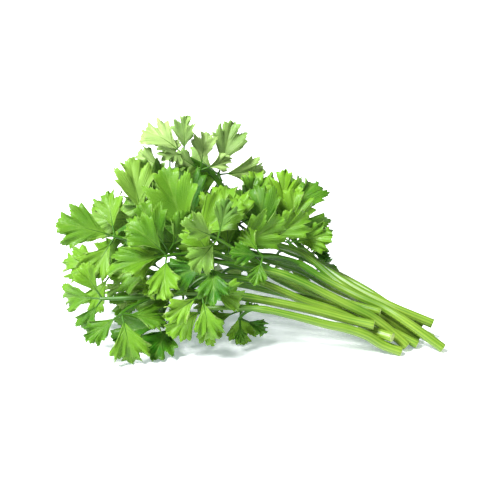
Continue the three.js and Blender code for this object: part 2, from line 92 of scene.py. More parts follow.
# One entry for each leafy stem, from the front to the back: the stalk's radii at its cut end and its neck,
# its path from the cut end to the end fork, and its sprays
STEMS = (
    {
        "foot": 3.2, "neck": 1.6,
        "path": (
            (84, -52, 18), (50, -50, 28), (-3, -46, 38), (-42, -44, 41), (-76, -46, 38), (-104, -44, 36),
        ),
        "sprays": (
            spray_at(1, (-104, -44, 36), (-137, -38, 44), (-0.2, -0.7, 0.7)),
            spray_at(0.74, (-78, -58, 32), (-62, -66, 0), (0.2, -0.8, 0.5)),
            spray_at(0.46, (-33, -60, 48), (-25, -74, 18), (0.1, -0.9, 0.4)),
        ),
    },
    {
        "foot": 3.3, "neck": 1.6,
        "path": (
            (104, -57, 2.7), (75, -57, 17), (54, -57, 22), (31, -56, 28), (5, -54, 33), (-32, -50, 32),
        ),
        "sprays": (
            spray_at(1, (-32, -50, 32), (-62, -62, 24), (-0.1, -0.7, 0.7)),
            spray_at(0.84, (-60, -38, 9), (-100, -46, 0), (0, -0.3, 1)),
            spray_at(0.7, (-8, -42, 20), (12, -48, 14), (0.1, -0.5, 0.9)),
        ),
    },
    {
        "foot": 3.5, "neck": 1.7,
        "path": (
            (108, -53, 3.5), (84, -46, 22), (62, -43, 33), (46, -40, 41), (23, -37, 51), (-8, -32, 58),
            (-43, -20, 68),
        ),
        "sprays": (
            spray_at(1, (-43, -20, 68), (-66, -6, 118), (-0.1, -0.9, 0.3)),
            spray_at(0.58, (-22, -38, 78), (-48, -46, 96), (0, -0.8, 0.6)),
            spray_at(0.66, (-28, -46, 62), (-62, -60, 54), (0, -0.7, 0.7)),
            spray_at(0.8, (-58, -34, 66), (-98, -48, 60), (-0.2, -0.7, 0.7)),
        ),
    },
    {
        "foot": 3.2, "neck": 1.5,
        "path": (
            (96, -58, 11), (72, -45, 22), (38, -40, 32), (3, -36, 46), (-36, -30, 48), (-62, -30, 51),
        ),
        "sprays": (
            spray_at(1, (-62, -30, 51), (-98, -44, 46), (-0.3, -0.6, 0.7)),
            spray_at(0.78, (-46, -42, 40), (-80, -54, 40), (0, -0.7, 0.7)),
            spray_at(0.7, (-56, -28, 66), (-76, -26, 100), (0.1, -0.9, 0.3)),
        ),
    },
    {
        "foot": 3, "neck": 1.5,
        "path": (
            (116, -49, 3), (94, -39, 12), (72, -30, 20), (28, -25, 30), (3, -20, 34), (-44, -8, 38),
            (-101, -8, 40),
        ),
        "sprays": (
            spray_at(1, (-101, -8, 40), (-139, -2, 50), (-0.2, -0.7, 0.7)),
            spray_at(0.82, (-74, 20, 14), (-108, 42, -2), (0, 0.1, 1)),
            spray_at(0.6, (-8, -20, 14), (-40, -28, 8), (0, -0.3, 1)),
            spray_at(0.72, (-62, -22, 30), (-96, -28, 22), (-0.1, -0.6, 0.8)),
        ),
    },
    {
        "foot": 2.5, "neck": 1.4,
        "path": (
            (90, -42, 25), (69, -37, 29), (43, -32, 36), (25, -26, 43), (10, -22, 46), (-18, -14, 50),
            (-50, -12, 58), (-76, -18, 67), (-96, -20, 73),
        ),
        "sprays": (
            spray_at(1, (-96, -20, 73), (-137, -18, 83), (-0.1, -0.85, 0.5)),
            spray_at(0.5, (-24, -2, 30), (-56, 6, 20), (0, -0.3, 0.9)),
            spray_at(0.82, (-78, 0, 76), (-94, 10, 118), (0.1, -0.9, 0.3)),
        ),
    },
    {
        "foot": 3.3, "neck": 1.7,
        "path": (
            (133, -54, 2.8), (106, -45, 20), (85, -35, 28), (54, -20, 39), (30, -13, 51), (8, -14, 56),
            (-16, -18, 59),
        ),
        "sprays": (
            spray_at(1, (-16, -18, 59), (-26, -6, 108), (0, -0.95, 0.2)),
            spray_at(0.64, (6, -34, 64), (-18, -46, 68), (0, -0.8, 0.6)),
            spray_at(0.8, (-38, 16, 72), (-54, 24, 114), (0, -0.9, 0.4)),
        ),
    },
    {
        "foot": 3.3, "neck": 1.7,
        "path": ((118, -40, 3), (96, -35, 16), (76, -24, 27), (55, -8, 39), (35, 3, 52), (10, -2, 61)),
        "sprays": (
            spray_at(1, (10, -2, 61), (4, 6, 104), (0.2, -0.95, 0.2)),
            spray_at(0.9, (-8, 16, 67), (-12, 22, 104), (0, -0.95, 0.2)),
            spray_at(0.78, (24, 8, 58), (22, 6, 98), (0, -0.95, 0.3)),
        ),
    },
    {
        "foot": 3.3, "neck": 1.7,
        "path": ((128, -36, 13), (100, -27, 22), (73, -12, 31), (49, 6, 42), (31, 18, 56), (22, 22, 68)),
        "sprays": (
            spray_at(1, (22, 22, 68), (56, 22, 100), (0.2, -0.9, 0.3)),
            spray_at(0.9, (6, 32, 68), (4, 38, 104), (0, -0.9, 0.4)),
            spray_at(0.76, (40, 28, 42), (54, 36, 58), (0.2, -0.6, 0.8)),
        ),
    },
    {
        "foot": 3.1, "neck": 1.5,
        "path": (
            (123, -28, 9), (107, -22, 15), (88, -8, 23), (63, 14, 30), (48, 24, 34), (27, 38, 38),
            (4, 50, 42),
        ),
        "sprays": (
            spray_at(1, (4, 50, 42), (-8, 66, 82), (0, -0.5, 0.85)),
            spray_at(0.58, (46, 50, 24), (70, 60, 20), (0.2, -0.3, 0.9)),
            spray_at(0.8, (20, 56, 18), (36, 84, -2), (0, 0.2, 1)),
        ),
    },
    {
        "foot": 3.2, "neck": 1.5,
        "path": (
            (110, -30, 3), (84, -12, 9), (57, 2, 14), (29, 14, 21), (3, 26, 34), (-10, 36, 54),
            (-17, 44, 75), (-24, 48, 92), (-50, 45, 112),
        ),
        "sprays": (
            spray_at(1, (-50, 45, 112), (-81, 46, 134), (-0.1, -0.7, 0.7)),
            spray_at(0.84, (-25, 46, 94), (-16, 50, 135), (0.1, -0.95, 0.2)),
            spray_at(0.92, (-60, 40, 102), (-88, 38, 112), (-0.2, -0.9, 0.4)),
            spray_at(0.88, (-36, 40, 98), (-34, 38, 128), (0, -0.95, 0.3)),
            spray_at(0.74, (-56, 38, 84), (-78, 43, 118), (-0.1, -0.9, 0.4)),
            spray_at(0.56, (-30, 30, 54), (-66, 26, 70), (-0.1, -0.7, 0.7)),
        ),
    },
    {
        "foot": 3.2, "neck": 1.5,
        "path": (
            (128, -40, 3), (102, -18, 10), (82, 0, 14), (58, 16, 19), (37, 30, 26), (5, 42, 31),
            (-38, 44, 42), (-69, 45, 50),
        ),
        "sprays": (
            spray_at(1, (-69, 45, 50), (-104, 56, 80), (0, -0.7, 0.7)),
            spray_at(0.84, (-39, 56, 58), (-46, 72, 94), (0, -0.6, 0.8)),
            spray_at(0.93, (-90, 28, 50), (-128, 36, 68), (0, -0.7, 0.7)),
            spray_at(0.75, (-37, 48, 14), (-54, 84, -2), (0, 0.2, 1)),
        ),
    },
)

# How the leaflets settle, as in the solids
BLADE_REACH = 3
STALK_REACH = 2.8
STEM_REACH = 3.8
STEM_REACH_MARGIN = 1.2
SAMPLE_SPACING = 6.5
STEM_GAP = 1
STEM_SINK = 0.7
STEM_ROUNDS = 120
SPREAD_GAIN = 0.7
LINE_STEP = 4
SETTLE_ROUNDS = 200
GROWN_BY = 120
BUD_SHARE = 0.25
FREE_NEAR_FORK = 12
TURN_GAIN = 1.3
SHORT_ARM = 14
MOST_TURN = 0.15
SHIFT_GAIN = 0.8
HOME_PULL = 0.015
PULL_UNTIL = 0.8
MOST_SHIFT = 1.2
LOWEST_BLADE = 0.1
STALK_SAMPLES = (0.2, 0.35, 0.5, 0.65, 0.8, 0.92)
NEIGHBOUR_MARGIN = 4

# A blade's half outline from its foot to its tip, as shares of its half width and its length, and the share
# of the midrib where the vein to each point leaves. fill is how far a leaflet with shallow lobes fills its
# notches. between counts the finer notches and teeth from the last point to it.
OUTLINE = (
    {"across": 0.42, "along": 0.3, "fill": (0.03, 0), "vein": 0.05, "between": 0},
    {"across": 0.98, "along": 0.59, "fill": (0, 0.02), "vein": 0.13, "between": 9},
    {"across": 0.74, "along": 0.62, "fill": (0.08, 0.02), "vein": 0.17, "between": 0},
    {"across": 0.84, "along": 0.83, "fill": (0, 0), "vein": 0.23, "between": 4},
    {"across": 0.29, "along": 0.68, "fill": (0.08, 0.05), "vein": 0.32, "between": 6},
    {"across": 0.46, "along": 0.93, "fill": (0, 0), "vein": 0.44, "between": 4},
    {"across": 0.23, "along": 0.91, "fill": (0.03, 0.02), "vein": 0.56, "between": 0},
    {"across": 0.0, "along": 1.0, "fill": (0, 0), "vein": 1.0, "between": 2},
)
WIDTHS = ((0, 0), (0.28, 0.5), (0.54, 0.97), (0.8, 0.9), (0.93, 0.5), (1, 0.12))

# The layout's point that the frame's origin stands at, and the point in the middle of the picture
MIDDLE = np.array([-0.845, 3.637, 0.0])
LOOK_AT = (-2.5, 0.0, 56.3)

# Fine form of the blades in millimetres or as shares of a blade's length, left to this script
BLADE_COLUMNS = 6
FOOT_HALF = 0.5
FOOT_ROWS = 6
TOOTH_ROWS = 3
FOOT_BULGE = -0.02
TOOTH_BULGE = 0.007
TOOTH_HEIGHT = 0.037
STRAY = 0.012
GROOVE_HALF = 1.1
# Painted light: the leaves are painted paler from this height in millimetres upwards, fully so this much
# higher, as if the top of the bunch were more brightly lit
TOP_LIGHT_FROM = 72.0
TOP_LIGHT_OVER = 30.0
FINE_SEED = 77
PATTERN_APART = 7.3

# Fine form of the stalks in millimetres, left to this script
NECK_SHARE = 0.8
STEM_STEPS = 10
RING_SPACING = 2.4
STALK_SIDES = 36
SWELLING_REACH = 4.5
FLARE = 0.7
FLARE_REACH = 5
STALK_ELBOW = 0.45
LEAFLET_STALK_SIDES = 10
LEAFLET_STALK_RIBS = 3
LEAFLET_STALK_RIB_DEPTH = 0.08
LEAFLET_STALK_RADIUS = 0.62
MIDRIB_RADIUS = 0.5
MIDRIB_TIP_RADIUS = 0.06
FAR_FROM_CUT = 200.0

# A stalk's domed end, how far past its last point and how wide, as shares of its radius
DOME = ((0.45, 0.88), (0.8, 0.58), (0.97, 0.15))

# A cut end: how far along the stalk, how wide as a share of its radius, and how green, from 0 for pith
CUT_FACE = ((0, 0.06, 0), (0.01, 0.62, 0), (0.03, 0.95, 0), (0.35, 1, 0.6))
CUT_DEPTH = 0.7

# The stage in metres
SURFACE_HALF = 6
SUN_FROM = (-0.75, -0.45, 1.25)


def standard_draws(seed):
    """Draws the same numbers as the solids' layout does"""
    state = seed

    def draw(low, high):
        nonlocal state
        state = state * 16807 % 2147483647
        return low + (high - low) * state / 2147483647

    return draw


def unit(vector):
    return vector / np.linalg.norm(vector)


def turned(vector, axis, angle):
    """The vector turned about a unit axis"""
    across = np.cross(axis, vector)
    kept = axis * (axis @ vector) * (1 - math.cos(angle))
    return vector * math.cos(angle) + across * math.sin(angle) + kept


def turn_matrix(spin):
    """The turn about spin, by its length in radians"""
    angle = np.linalg.norm(spin)
    axes = [turned(row, spin / angle, angle) for row in np.eye(3)]
    return np.array(axes).T


def point_on(points, share):
    """A point on the centripetal curve through points, as the solids' curves have it"""
    last = len(points) - 1
    place = last * share
    k = min(int(place), last - 1)
    t = place - k
    before = points[k - 1] if k > 0 else 2 * points[0] - points[1]
    after = points[k + 2] if k + 2 <= last else 2 * points[last] - points[last - 1]
    near, far = points[k], points[k + 1]
    d0, d1, d2 = (np.sqrt(np.linalg.norm(b - a)) for a, b in ((before, near), (near, far), (far, after)))
    m1 = ((near - before) / d0 - (far - before) / (d0 + d1) + (far - near) / d1) * d1
    m2 = ((far - near) / d1 - (after - near) / (d1 + d2) + (after - far) / d2) * d1
    cube = 2 * near - 2 * far + m1 + m2
    square = -3 * near + 3 * far - 2 * m1 - m2
    return near + t * (m1 + t * (square + t * cube))


def spaced(points, step):
    """Points along the curve, about step apart"""
    divisions = 200
    points = [np.array(p, float) for p in points]
    dense = np.array([point_on(points, k / divisions) for k in range(divisions + 1)])
    lengths = np.concatenate(([0], np.cumsum(np.linalg.norm(np.diff(dense, axis=0), axis=1))))
    count = int(lengths[-1] / step + 0.5)
    wanted = np.arange(count + 1) / count * lengths[-1]
    shares = np.interp(wanted, lengths, np.arange(divisions + 1) / divisions)
    return np.array([point_on(points, share) for share in shares])


def spread_stems(lines, radii):
    """Moves the stems aside where they would run through each other, and keeps them above the surface"""
    owner = np.concatenate([np.full(len(line), s) for s, line in enumerate(lines)])
    size = np.concatenate(radii)
    place = np.concatenate(lines)
    starts = np.searchsorted(owner, np.arange(len(lines)))
    ends = np.append(starts[1:], len(owner))
    index = np.arange(len(owner))
    back = np.maximum(index - 1, starts[owner])
    on = np.minimum(index + 1, ends[owner] - 1)
    for _ in range(STEM_ROUNDS):
        a, b = near_pairs(place, 2 * size.max() + STEM_GAP)
        keep = owner[a] < owner[b]
        a, b = a[keep], b[keep]
        apart = place[a] - place[b]
        depth = size[a] + size[b] + STEM_GAP - np.linalg.norm(apart, axis=1)
        a, b, apart, depth = (array[depth > 0] for array in (a, b, apart, depth))
        way = place[on[a]] - place[back[a]]
        way /= np.linalg.norm(way, axis=1, keepdims=True)
        apart -= way * np.sum(apart * way, axis=1, keepdims=True)
        apart *= (depth / 2 / np.linalg.norm(apart, axis=1))[:, None]
        moves = np.zeros_like(place)
        np.add.at(moves, a, apart)
        np.subtract.at(moves, b, apart)
        place += SPREAD_GAIN * (0.5 * moves + 0.25 * moves[back] + 0.25 * moves[on])
        place[:, 2] = np.maximum(place[:, 2], size - STEM_SINK)
    return [place[s:e] for s, e in zip(starts, ends)]


def near_pairs(place, reach):
    """The pairs of points, lower index first, that lie closer than reach"""
    place = place.astype(np.float32)
    square = np.sum(place * place, axis=1)
    far = place @ (-2 * place.T)
    far += square[:, None]
    far += square[None, :]
    return np.nonzero(np.triu(far < reach * reach, 1))


def bent(leaflet, across, along):
    """Flat points of a blade carried onto its bent form, in the leaflet's own axes"""
    length = leaflet["length"]
    share = np.maximum(along, 0) / length
    rim = (across * across + along * along) / (length * length)
    fan = np.sin(leaflet["phase"] + 5 * np.arctan2(across, np.maximum(along, 0.001)))
    lift = np.abs(across) * math.sin(leaflet["fold"]) + leaflet["wave"] * length * rim * fan
    turn = leaflet["twist"] * share
    flat = across * math.cos(leaflet["fold"])
    x = flat * np.cos(turn) - lift * np.sin(turn)
    z = flat * np.sin(turn) + lift * np.cos(turn)
    bend = leaflet["arch"] * share
    radius = length / leaflet["arch"]
    y = np.where(along < 0, along, radius * np.sin(bend))
    rise = z * np.cos(bend) - radius * (1 - np.cos(bend))
    return np.stack([x, LEAFLET_STALK + y + z * np.sin(bend), rise], axis=-1)


def leaflets_of(spray, draw):
    heading = np.array(spray["tip"], float) - np.array(spray["fork"], float)
    face = unit(np.array(spray["face"], float))
    full = np.linalg.norm(heading) - LEAFLET_STALK
    leaflets = []
    for side in (0, 1, -1):
        swing = math.radians(side * (SIDE_ANGLE + draw(-10, 10)))
        tilt = math.radians(draw(-14, 14))
        roll = math.radians(draw(-18, 18))
        aim = unit(turned(heading, face, swing))
        across = unit(np.cross(aim, face))
        aim = turned(aim, across, tilt)
        up = turned(turned(face, across, tilt), aim, roll)
        y = unit(aim)
        x = unit(np.cross(y, up))
        leaflet = {"turn": np.stack([x, y, np.cross(x, y)], axis=1)}
        leaflet["length"] = full * (1 if side == 0 else SIDE_SHARE * draw(0.88, 1.05))
        leaflet["breadth"] = WIDTH_SHARE * draw(0.9, 1.12)
        leaflet["fold"] = math.radians(draw(4, 24))
        leaflet["arch"] = math.radians(draw(10, 60))
        leaflet["twist"] = math.radians(draw(-18, 18))
        leaflet["wave"] = draw(0.02, 0.06)
        leaflet["phase"] = draw(0, 6.28)
        leaflets.append(leaflet)
    return leaflets


def samples_of(leaflet):
    """Points over a leaflet that stand for it while the bunch settles"""
    points = [np.array([0, LEAFLET_STALK * 0.5, 0]), np.array([0, LEAFLET_STALK, 0])]
    rows = math.ceil(leaflet["length"] / SAMPLE_SPACING)
    for row in range(1, rows + 1):
        share = row / rows
        half = np.interp(share, *zip(*WIDTHS)) * leaflet["breadth"] * leaflet["length"]
        steps = math.ceil(half / SAMPLE_SPACING)
        for step in range(-steps, steps + 1):
            across = np.float64(half * step / steps)
            points.append(bent(leaflet, across, np.float64(share * leaflet["length"])))
    return np.array(points)


def lay_out():
    """The stems' lines and radii, and their sprays before they settle"""
    draw = standard_draws(SEED)
    lines = [spaced(stem["path"], LINE_STEP) for stem in STEMS]
    radii = []
    for stem, line in zip(STEMS, lines):
        shares = np.arange(len(line)) / (len(line) - 1)
        radii.append(stem["foot"] + (stem["neck"] - stem["foot"]) * shares ** STEM_TAPER)
    lines = spread_stems(lines, radii)
    sprays = []
    for s, stem in enumerate(STEMS):
        for place in stem["sprays"]:
            line = lines[s]
            k = int(place["at"] * (len(line) - 1) + 0.5)
            ends = place["at"] == 1
            along = unit(line[k] - line[max(k - 2, 0)])
            fork = line[k] - along * FORK_DEPTH if ends else np.array(place["fork"], float)
            spray = {"stem": s, "ends": ends, "k": k, "root": line[k], "along": along, "fork": fork}
            spray["leaflets"] = leaflets_of(place, draw)
            sprays.append(spray)
    return lines, radii, sprays


def stalk_bends(roots, alongs, forks):
    """The elbow and the end of the side stalks that run from roots to forks"""
    reach = np.linalg.norm(roots - forks, axis=1, keepdims=True)
    elbows = roots + alongs * reach * STALK_ELBOW
    way = forks - elbows
    return elbows, forks + way / np.linalg.norm(way, axis=1, keepdims=True) * FORK_DEPTH


class Settling:
    """Lets the leaflets grow from buds and turn aside, so that no blade runs through another piece"""

    def __init__(self, lines, radii, sprays):
        self.sprays = sprays
        self.leaflets = [leaflet for spray in sprays for leaflet in spray["leaflets"]]
        samples = [samples_of(leaflet) for leaflet in self.leaflets]
        self.local = np.concatenate(samples)
        counts = [len(points) for points in samples]
        self.leaflet_of = np.repeat(np.arange(len(samples)), counts)
        spray_of_leaflet = np.repeat(np.arange(len(sprays)), 3)
        self.spray_of_leaflet = spray_of_leaflet
        self.turns = np.array([leaflet["turn"] for leaflet in self.leaflets])
        self.homes = self.turns.copy()
        self.forks = np.array([spray["fork"] for spray in sprays])
        self.fork_homes = self.forks.copy()
        self.moves_fork = np.array([not spray["ends"] for spray in sprays])
        self.stalks = np.flatnonzero(self.moves_fork)
        self.roots = np.array([sprays[g]["root"] for g in self.stalks])
        self.alongs = np.array([sprays[g]["along"] for g in self.stalks])
        self.fixed = np.concatenate(lines)
        stem_of_spray = np.array([spray["stem"] for spray in sprays])
        stalk_spray = np.repeat(self.stalks, len(STALK_SAMPLES))
        leaf_spray = spray_of_leaflet[self.leaflet_of]
        nothing = np.full(len(self.fixed), -1)
        self.spray = np.concatenate([nothing, stalk_spray, leaf_spray])
        owner = np.concatenate([np.full(len(line), s) for s, line in enumerate(lines)])
        self.stem = np.concatenate([owner, stem_of_spray[stalk_spray], stem_of_spray[leaf_spray]])
        no_leaflet = np.full(len(self.fixed) + len(stalk_spray), -1)
        self.leaflet = np.concatenate([no_leaflet, self.leaflet_of])
        stem_reach = np.maximum(STEM_REACH, np.concatenate(radii) + STEM_REACH_MARGIN)
        first = np.concatenate([np.arange(count) for count in counts])
        leaf_reach = np.where(first < 2, STALK_REACH, BLADE_REACH)
        self.reach = np.concatenate([stem_reach, np.full(len(stalk_spray), STALK_REACH), leaf_reach])
        weight = np.tile(STALK_SAMPLES, len(self.stalks))
        self.weight = np.concatenate([np.zeros(len(self.fixed)), weight, np.ones(len(self.local))])
        self.first_leaf = len(no_leaflet)
        self.seen = None

    def places(self, grown):
        elbows, ends = stalk_bends(self.roots, self.alongs, self.forks[self.stalks])
        t = np.array(STALK_SAMPLES)[None, :, None]
        a, b, c = self.roots[:, None], elbows[:, None], ends[:, None]
        stalks = (1 - t) ** 2 * a + 2 * (1 - t) * t * b + t * t * c
        arms = np.einsum("nij,nj->ni", self.turns[self.leaflet_of], self.local) * grown
        leaves = self.forks[self.spray_of_leaflet[self.leaflet_of]] + arms
        return np.concatenate([self.fixed, stalks.reshape(-1, 3), leaves]), arms

    def candidates(self, place):
        """Pairs that might touch, found anew when a point has moved half the margin"""
        if self.seen is None or np.abs(place - self.seen).max() > NEIGHBOUR_MARGIN / 4:
            a, b = near_pairs(place, 2 * self.reach.max() + NEIGHBOUR_MARGIN)
            leaf_a, leaf_b = self.leaflet[a] >= 0, self.leaflet[b] >= 0
            other_stem = self.stem[a] != self.stem[b]
            same_leaflet = leaf_a & (self.leaflet[a] == self.leaflet[b])
            own_stalk = (self.spray[a] == self.spray[b]) & ~(leaf_a & leaf_b)
            own = ~same_leaflet & ~own_stalk & (leaf_a | leaf_b)
            moving = (self.spray[a] >= 0) | (self.spray[b] >= 0)
            keep = moving & (other_stem | own)
            self.pairs = a[keep], b[keep], other_stem[keep]
            self.seen = place.copy()
        return self.pairs

    def push(self, place, arms):
        """How far, and how deep in all, each point is pushed"""
        leaf_near = np.linalg.norm(arms, axis=1) < FREE_NEAR_FORK
        near = np.concatenate([np.zeros(self.first_leaf, bool), leaf_near])
        a, b, other_stem = self.candidates(place)
        apart = place[a] - place[b]
        far = np.linalg.norm(apart, axis=1)
        depth = self.reach[a] + self.reach[b] - far
        keep = (depth > 0) & (far > 1e-6) & (other_stem | ~(near[a] | near[b]))
        a, b, apart, far, depth = a[keep], b[keep], apart[keep], far[keep], depth[keep]
        both = (self.spray[a] >= 0) & (self.spray[b] >= 0)
        move = apart * (depth * depth * np.where(both, 0.5, 1) / far)[:, None]
        pushes = np.zeros_like(place)
        depths = np.zeros(len(place))
        np.add.at(pushes, a, move)
        np.subtract.at(pushes, b, move)
        np.add.at(depths, a, depth)
        np.add.at(depths, b, depth)
        under = np.where(self.spray >= 0, np.maximum(LOWEST_BLADE - place[:, 2], 0), 0)
        pushes[:, 2] += under * under
        depths += under
        return pushes, depths

    def give_way(self, arms, pushes, depths, pull):
        count = len(self.sprays)
        moving = self.spray >= 0
        shift = np.zeros((count, 3))
        total = np.zeros(count)
        np.add.at(shift, self.spray[moving], pushes[moving] * self.weight[moving, None])
        np.add.at(total, self.spray[moving], depths[moving])
        shift *= (SHIFT_GAIN / np.maximum(total, 1e-30))[:, None]
        size = np.linalg.norm(shift, axis=1, keepdims=True)
        shift *= np.minimum(1, MOST_SHIFT / np.maximum(size, 1e-30))
        loose = self.moves_fork
        self.forks[loose] += shift[loose]
        self.forks[loose] += (self.fork_homes[loose] - self.forks[loose]) * pull
        moment = np.zeros((len(self.leaflets), 3))
        hold = np.zeros(len(self.leaflets))
        leaf_push = pushes[self.first_leaf:]
        leaf_depth = depths[self.first_leaf:]
        np.add.at(moment, self.leaflet_of, np.cross(arms, leaf_push))
        np.add.at(hold, self.leaflet_of, leaf_depth * np.maximum(np.sum(arms * arms, axis=1), SHORT_ARM ** 2))
        spins = moment * (TURN_GAIN / np.maximum(hold, 1e-30))[:, None]
        spins += np.cross(self.turns, self.homes, axisa=1, axisb=1, axisc=1).sum(axis=2) * pull * 0.5
        for k, spin in enumerate(spins):
            angle = np.linalg.norm(spin)
            if angle > 0:
                self.turns[k] = turn_matrix(spin * min(1, MOST_TURN / angle)) @ self.turns[k]

    def run(self):
        for step in range(SETTLE_ROUNDS):
            grown = min(1, BUD_SHARE + (1 - BUD_SHARE) * step / GROWN_BY)
            pull = HOME_PULL if step < SETTLE_ROUNDS * PULL_UNTIL else 0
            place, arms = self.places(grown)
            pushes, depths = self.push(place, arms)
            self.give_way(arms, pushes, depths, pull)
        for leaflet, turn in zip(self.leaflets, self.turns):
            leaflet["turn"] = turn
        for spray, fork in zip(self.sprays, self.forks):
            spray["fork"] = fork


@lru_cache(maxsize=1)
def grown_bunch():
    lines, radii, sprays = lay_out()
    Settling(lines, radii, sprays).run()
    return lines, sprays


def in_frame(points):
    """Layout points in millimetres as points of the frame in metres"""
    return (np.asarray(points) - MIDDLE) * MILLIMETRE


def node_of(stem):
    return f"leafy_stem_{stem + 1:02d}"


# Stalks

def rounded_end(points, radii, way):
    """Carries a stalk on past its last point in a small dome"""
    reach = radii[-1]
    ends = [points[-1] + way * reach * out for out, _ in DOME]
    return np.vstack([points, ends]), np.concatenate([radii, [reach * wide for _, wide in DOME]])


def main_stalk(stem, line, sprays, swelling):
    """A long stalk from its cut end to its neck, a little thicker where side stalks leave it"""
    whole = np.sum(np.linalg.norm(np.diff(line, axis=0), axis=1))
    points = spaced(spaced(line, whole / STEM_STEPS), RING_SPACING)
    shares = np.linspace(0, 1, len(points))
    lengths = np.concatenate(([0], np.cumsum(np.linalg.norm(np.diff(points, axis=0), axis=1))))
    radii = stem["foot"] + (stem["neck"] * NECK_SHARE - stem["foot"]) * shares ** STEM_TAPER
    for spray in sprays:
        if not spray["ends"]:
            place = lengths[np.argmin(np.linalg.norm(points - spray["root"], axis=1))]
            radii = radii + swelling * np.exp(-(((lengths - place) / SWELLING_REACH) ** 2))
    points, radii = rounded_end(points, radii, unit(points[-1] - points[-2]))
    way = unit(points[1] - points[0])
    face = [points[0] + way * out for out, _, _ in CUT_FACE]
    face_radii = [stem["foot"] * wide for _, wide, _ in CUT_FACE]
    run = np.linalg.norm(points[1:] - points[0], axis=1)
    from_cut = np.concatenate([[green for _, _, green in CUT_FACE], np.maximum(run, CUT_DEPTH)])
    return np.vstack([face, points[1:]]), np.concatenate([face_radii, radii[1:]]), from_cut


def side_stalk(spray):
    """A thin stalk that leaves its stem along the stem's way, wide at its root, and bends to its fork"""
    elbow, end = (points[0] for points in stalk_bends(*(spray[k][None] for k in ("root", "along", "fork"))))
    count = max(int(np.linalg.norm(spray["root"] - spray["fork"]) / 2), 5)
    t = np.linspace(0, 1, count)[:, None]
    points = (1 - t) ** 2 * spray["root"] + 2 * (1 - t) * t * elbow + t * t * end
    from_root = t[:, 0] * np.linalg.norm(spray["root"] - spray["fork"])
    radii = SPRAY_STALK_TIP * NECK_SHARE + (SPRAY_STALK_ROOT - SPRAY_STALK_TIP) * (1 - t[:, 0])
    radii += FLARE * np.exp(-from_root / FLARE_REACH)
    points, radii = rounded_end(points, radii, unit(points[-1] - points[-2]))
    return points, radii, np.full(len(points), FAR_FROM_CUT)


def leaflet_stalk(spray, leaflet, settings):
    """A leaflet's own stalk, which runs on under its blade as the midrib"""
    stalk = np.linspace(-LEAFLET_STALK - 0.5, 0, 6)
    along = np.concatenate([stalk, np.linspace(0.06, 0.9, 14) * leaflet["length"]])
    under = np.where(along > 0, settings.midrib_depth / MILLIMETRE, 0)
    points = bent(leaflet, np.zeros_like(along), along) - np.outer(under, [0, 0, 1])
    share = np.clip(along / leaflet["length"], 0, 1)
    stalk_radii = LEAFLET_STALK_RADIUS - 0.15 * along / LEAFLET_STALK
    radii = np.where(along <= 0, stalk_radii, MIDRIB_RADIUS * (1 - share) ** 0.8 + MIDRIB_TIP_RADIUS)
    return spray["fork"] + points @ leaflet["turn"].T, radii, np.full(len(points), FAR_FROM_CUT)


def lines_mesh(name, rails):
    """A mesh of bare lines that carries the stalks' radii and how far each point is from a cut"""
    mesh = bpy.data.meshes.new(name)
    points = in_frame(np.vstack([rail[0] for rail in rails]))
    counts = [len(rail[0]) for rail in rails]
    starts = np.cumsum([0] + counts[:-1])
    edges = [(start + k, start + k + 1) for start, count in zip(starts, counts) for k in range(count - 1)]
    mesh.from_pydata(points.tolist(), edges, [])
    for k, attribute in ((1, "stalk_radius"), (2, "from_cut")):
        values = np.concatenate([rail[k] for rail in rails]) * MILLIMETRE
        mesh.attributes.new(attribute, "FLOAT", "POINT").data.foreach_set("value", values)
    return mesh


def ribbed_stalk_tree():
    """A node tree that draws a tube with lengthwise ribs along each line of a mesh"""
    tree = bpy.data.node_groups.new("Ribbed Stalks", "GeometryNodeTree")
    inputs = {"Lines": "Geometry", "Sides": "Int", "Ribs": "Int", "Rib Depth": "Float", "Finish": "Material"}
    for name, kind in inputs.items():
        tree.interface.new_socket(name, in_out="INPUT", socket_type="NodeSocket" + kind)
    tree.interface.new_socket("Stalks", in_out="OUTPUT", socket_type="NodeSocketGeometry")
    bench = Bench(tree)
    given = bench.add("NodeGroupInput")

    circle = bench.add(
        "GeometryNodeCurvePrimitiveCircle", {"mode": "RADIUS"}, {"Resolution": given["Sides"], "Radius": 1}
    )
    place = bench.add("GeometryNodeInputPosition")
    ring = bench.captured("VECTOR", "Ring", circle, place)
    parts = bench.add("ShaderNodeSeparateXYZ", {}, {0: place})
    angle = parts["Y"].angle_from(parts["X"])
    swell = (angle * given["Ribs"]).cosine() * given["Rib Depth"] + 1
    ribbed = bench.add("ShaderNodeVectorMath", {"operation": "SCALE"}, {"Vector": place, "Scale": swell})
    profile = bench.add("GeometryNodeSetPosition", {}, {"Geometry": ring, "Position": ribbed})

    rail = bench.add("GeometryNodeMeshToCurve", {}, {"Mesh": given["Lines"]})
    radius = bench.add("GeometryNodeInputNamedAttribute", {"data_type": "FLOAT"}, {"Name": "stalk_radius"})
    length = bench.add("GeometryNodeSplineParameter")["Length"]
    run = bench.captured("FLOAT", "Length", rail, length)
    tube = bench.add(
        "GeometryNodeCurveToMesh", {},
        {"Curve": run, "Profile Curve": profile, "Scale": radius, "Fill Caps": True},
    )
    across = bench.add("ShaderNodeSeparateXYZ", {}, {0: ring[1]})
    fibre = bench.add("ShaderNodeCombineXYZ", {}, {"X": across["X"], "Y": across["Y"], "Z": run[1]})
    kept = bench.add(
        "GeometryNodeStoreNamedAttribute", {"data_type": "FLOAT_VECTOR", "domain": "POINT"},
        {"Geometry": tube, "Name": "fibre", "Value": fibre},
    )
    smooth = bench.add("GeometryNodeSetShadeSmooth", {}, {"Geometry": kept})
    real = bench.add("GeometryNodeRealizeInstances", {}, {"Geometry": smooth})
    finished = bench.add("GeometryNodeSetMaterial", {}, {"Geometry": real, "Material": given["Finish"]})
    bench.add("NodeGroupOutput", {}, {"Stalks": finished})
    return tree


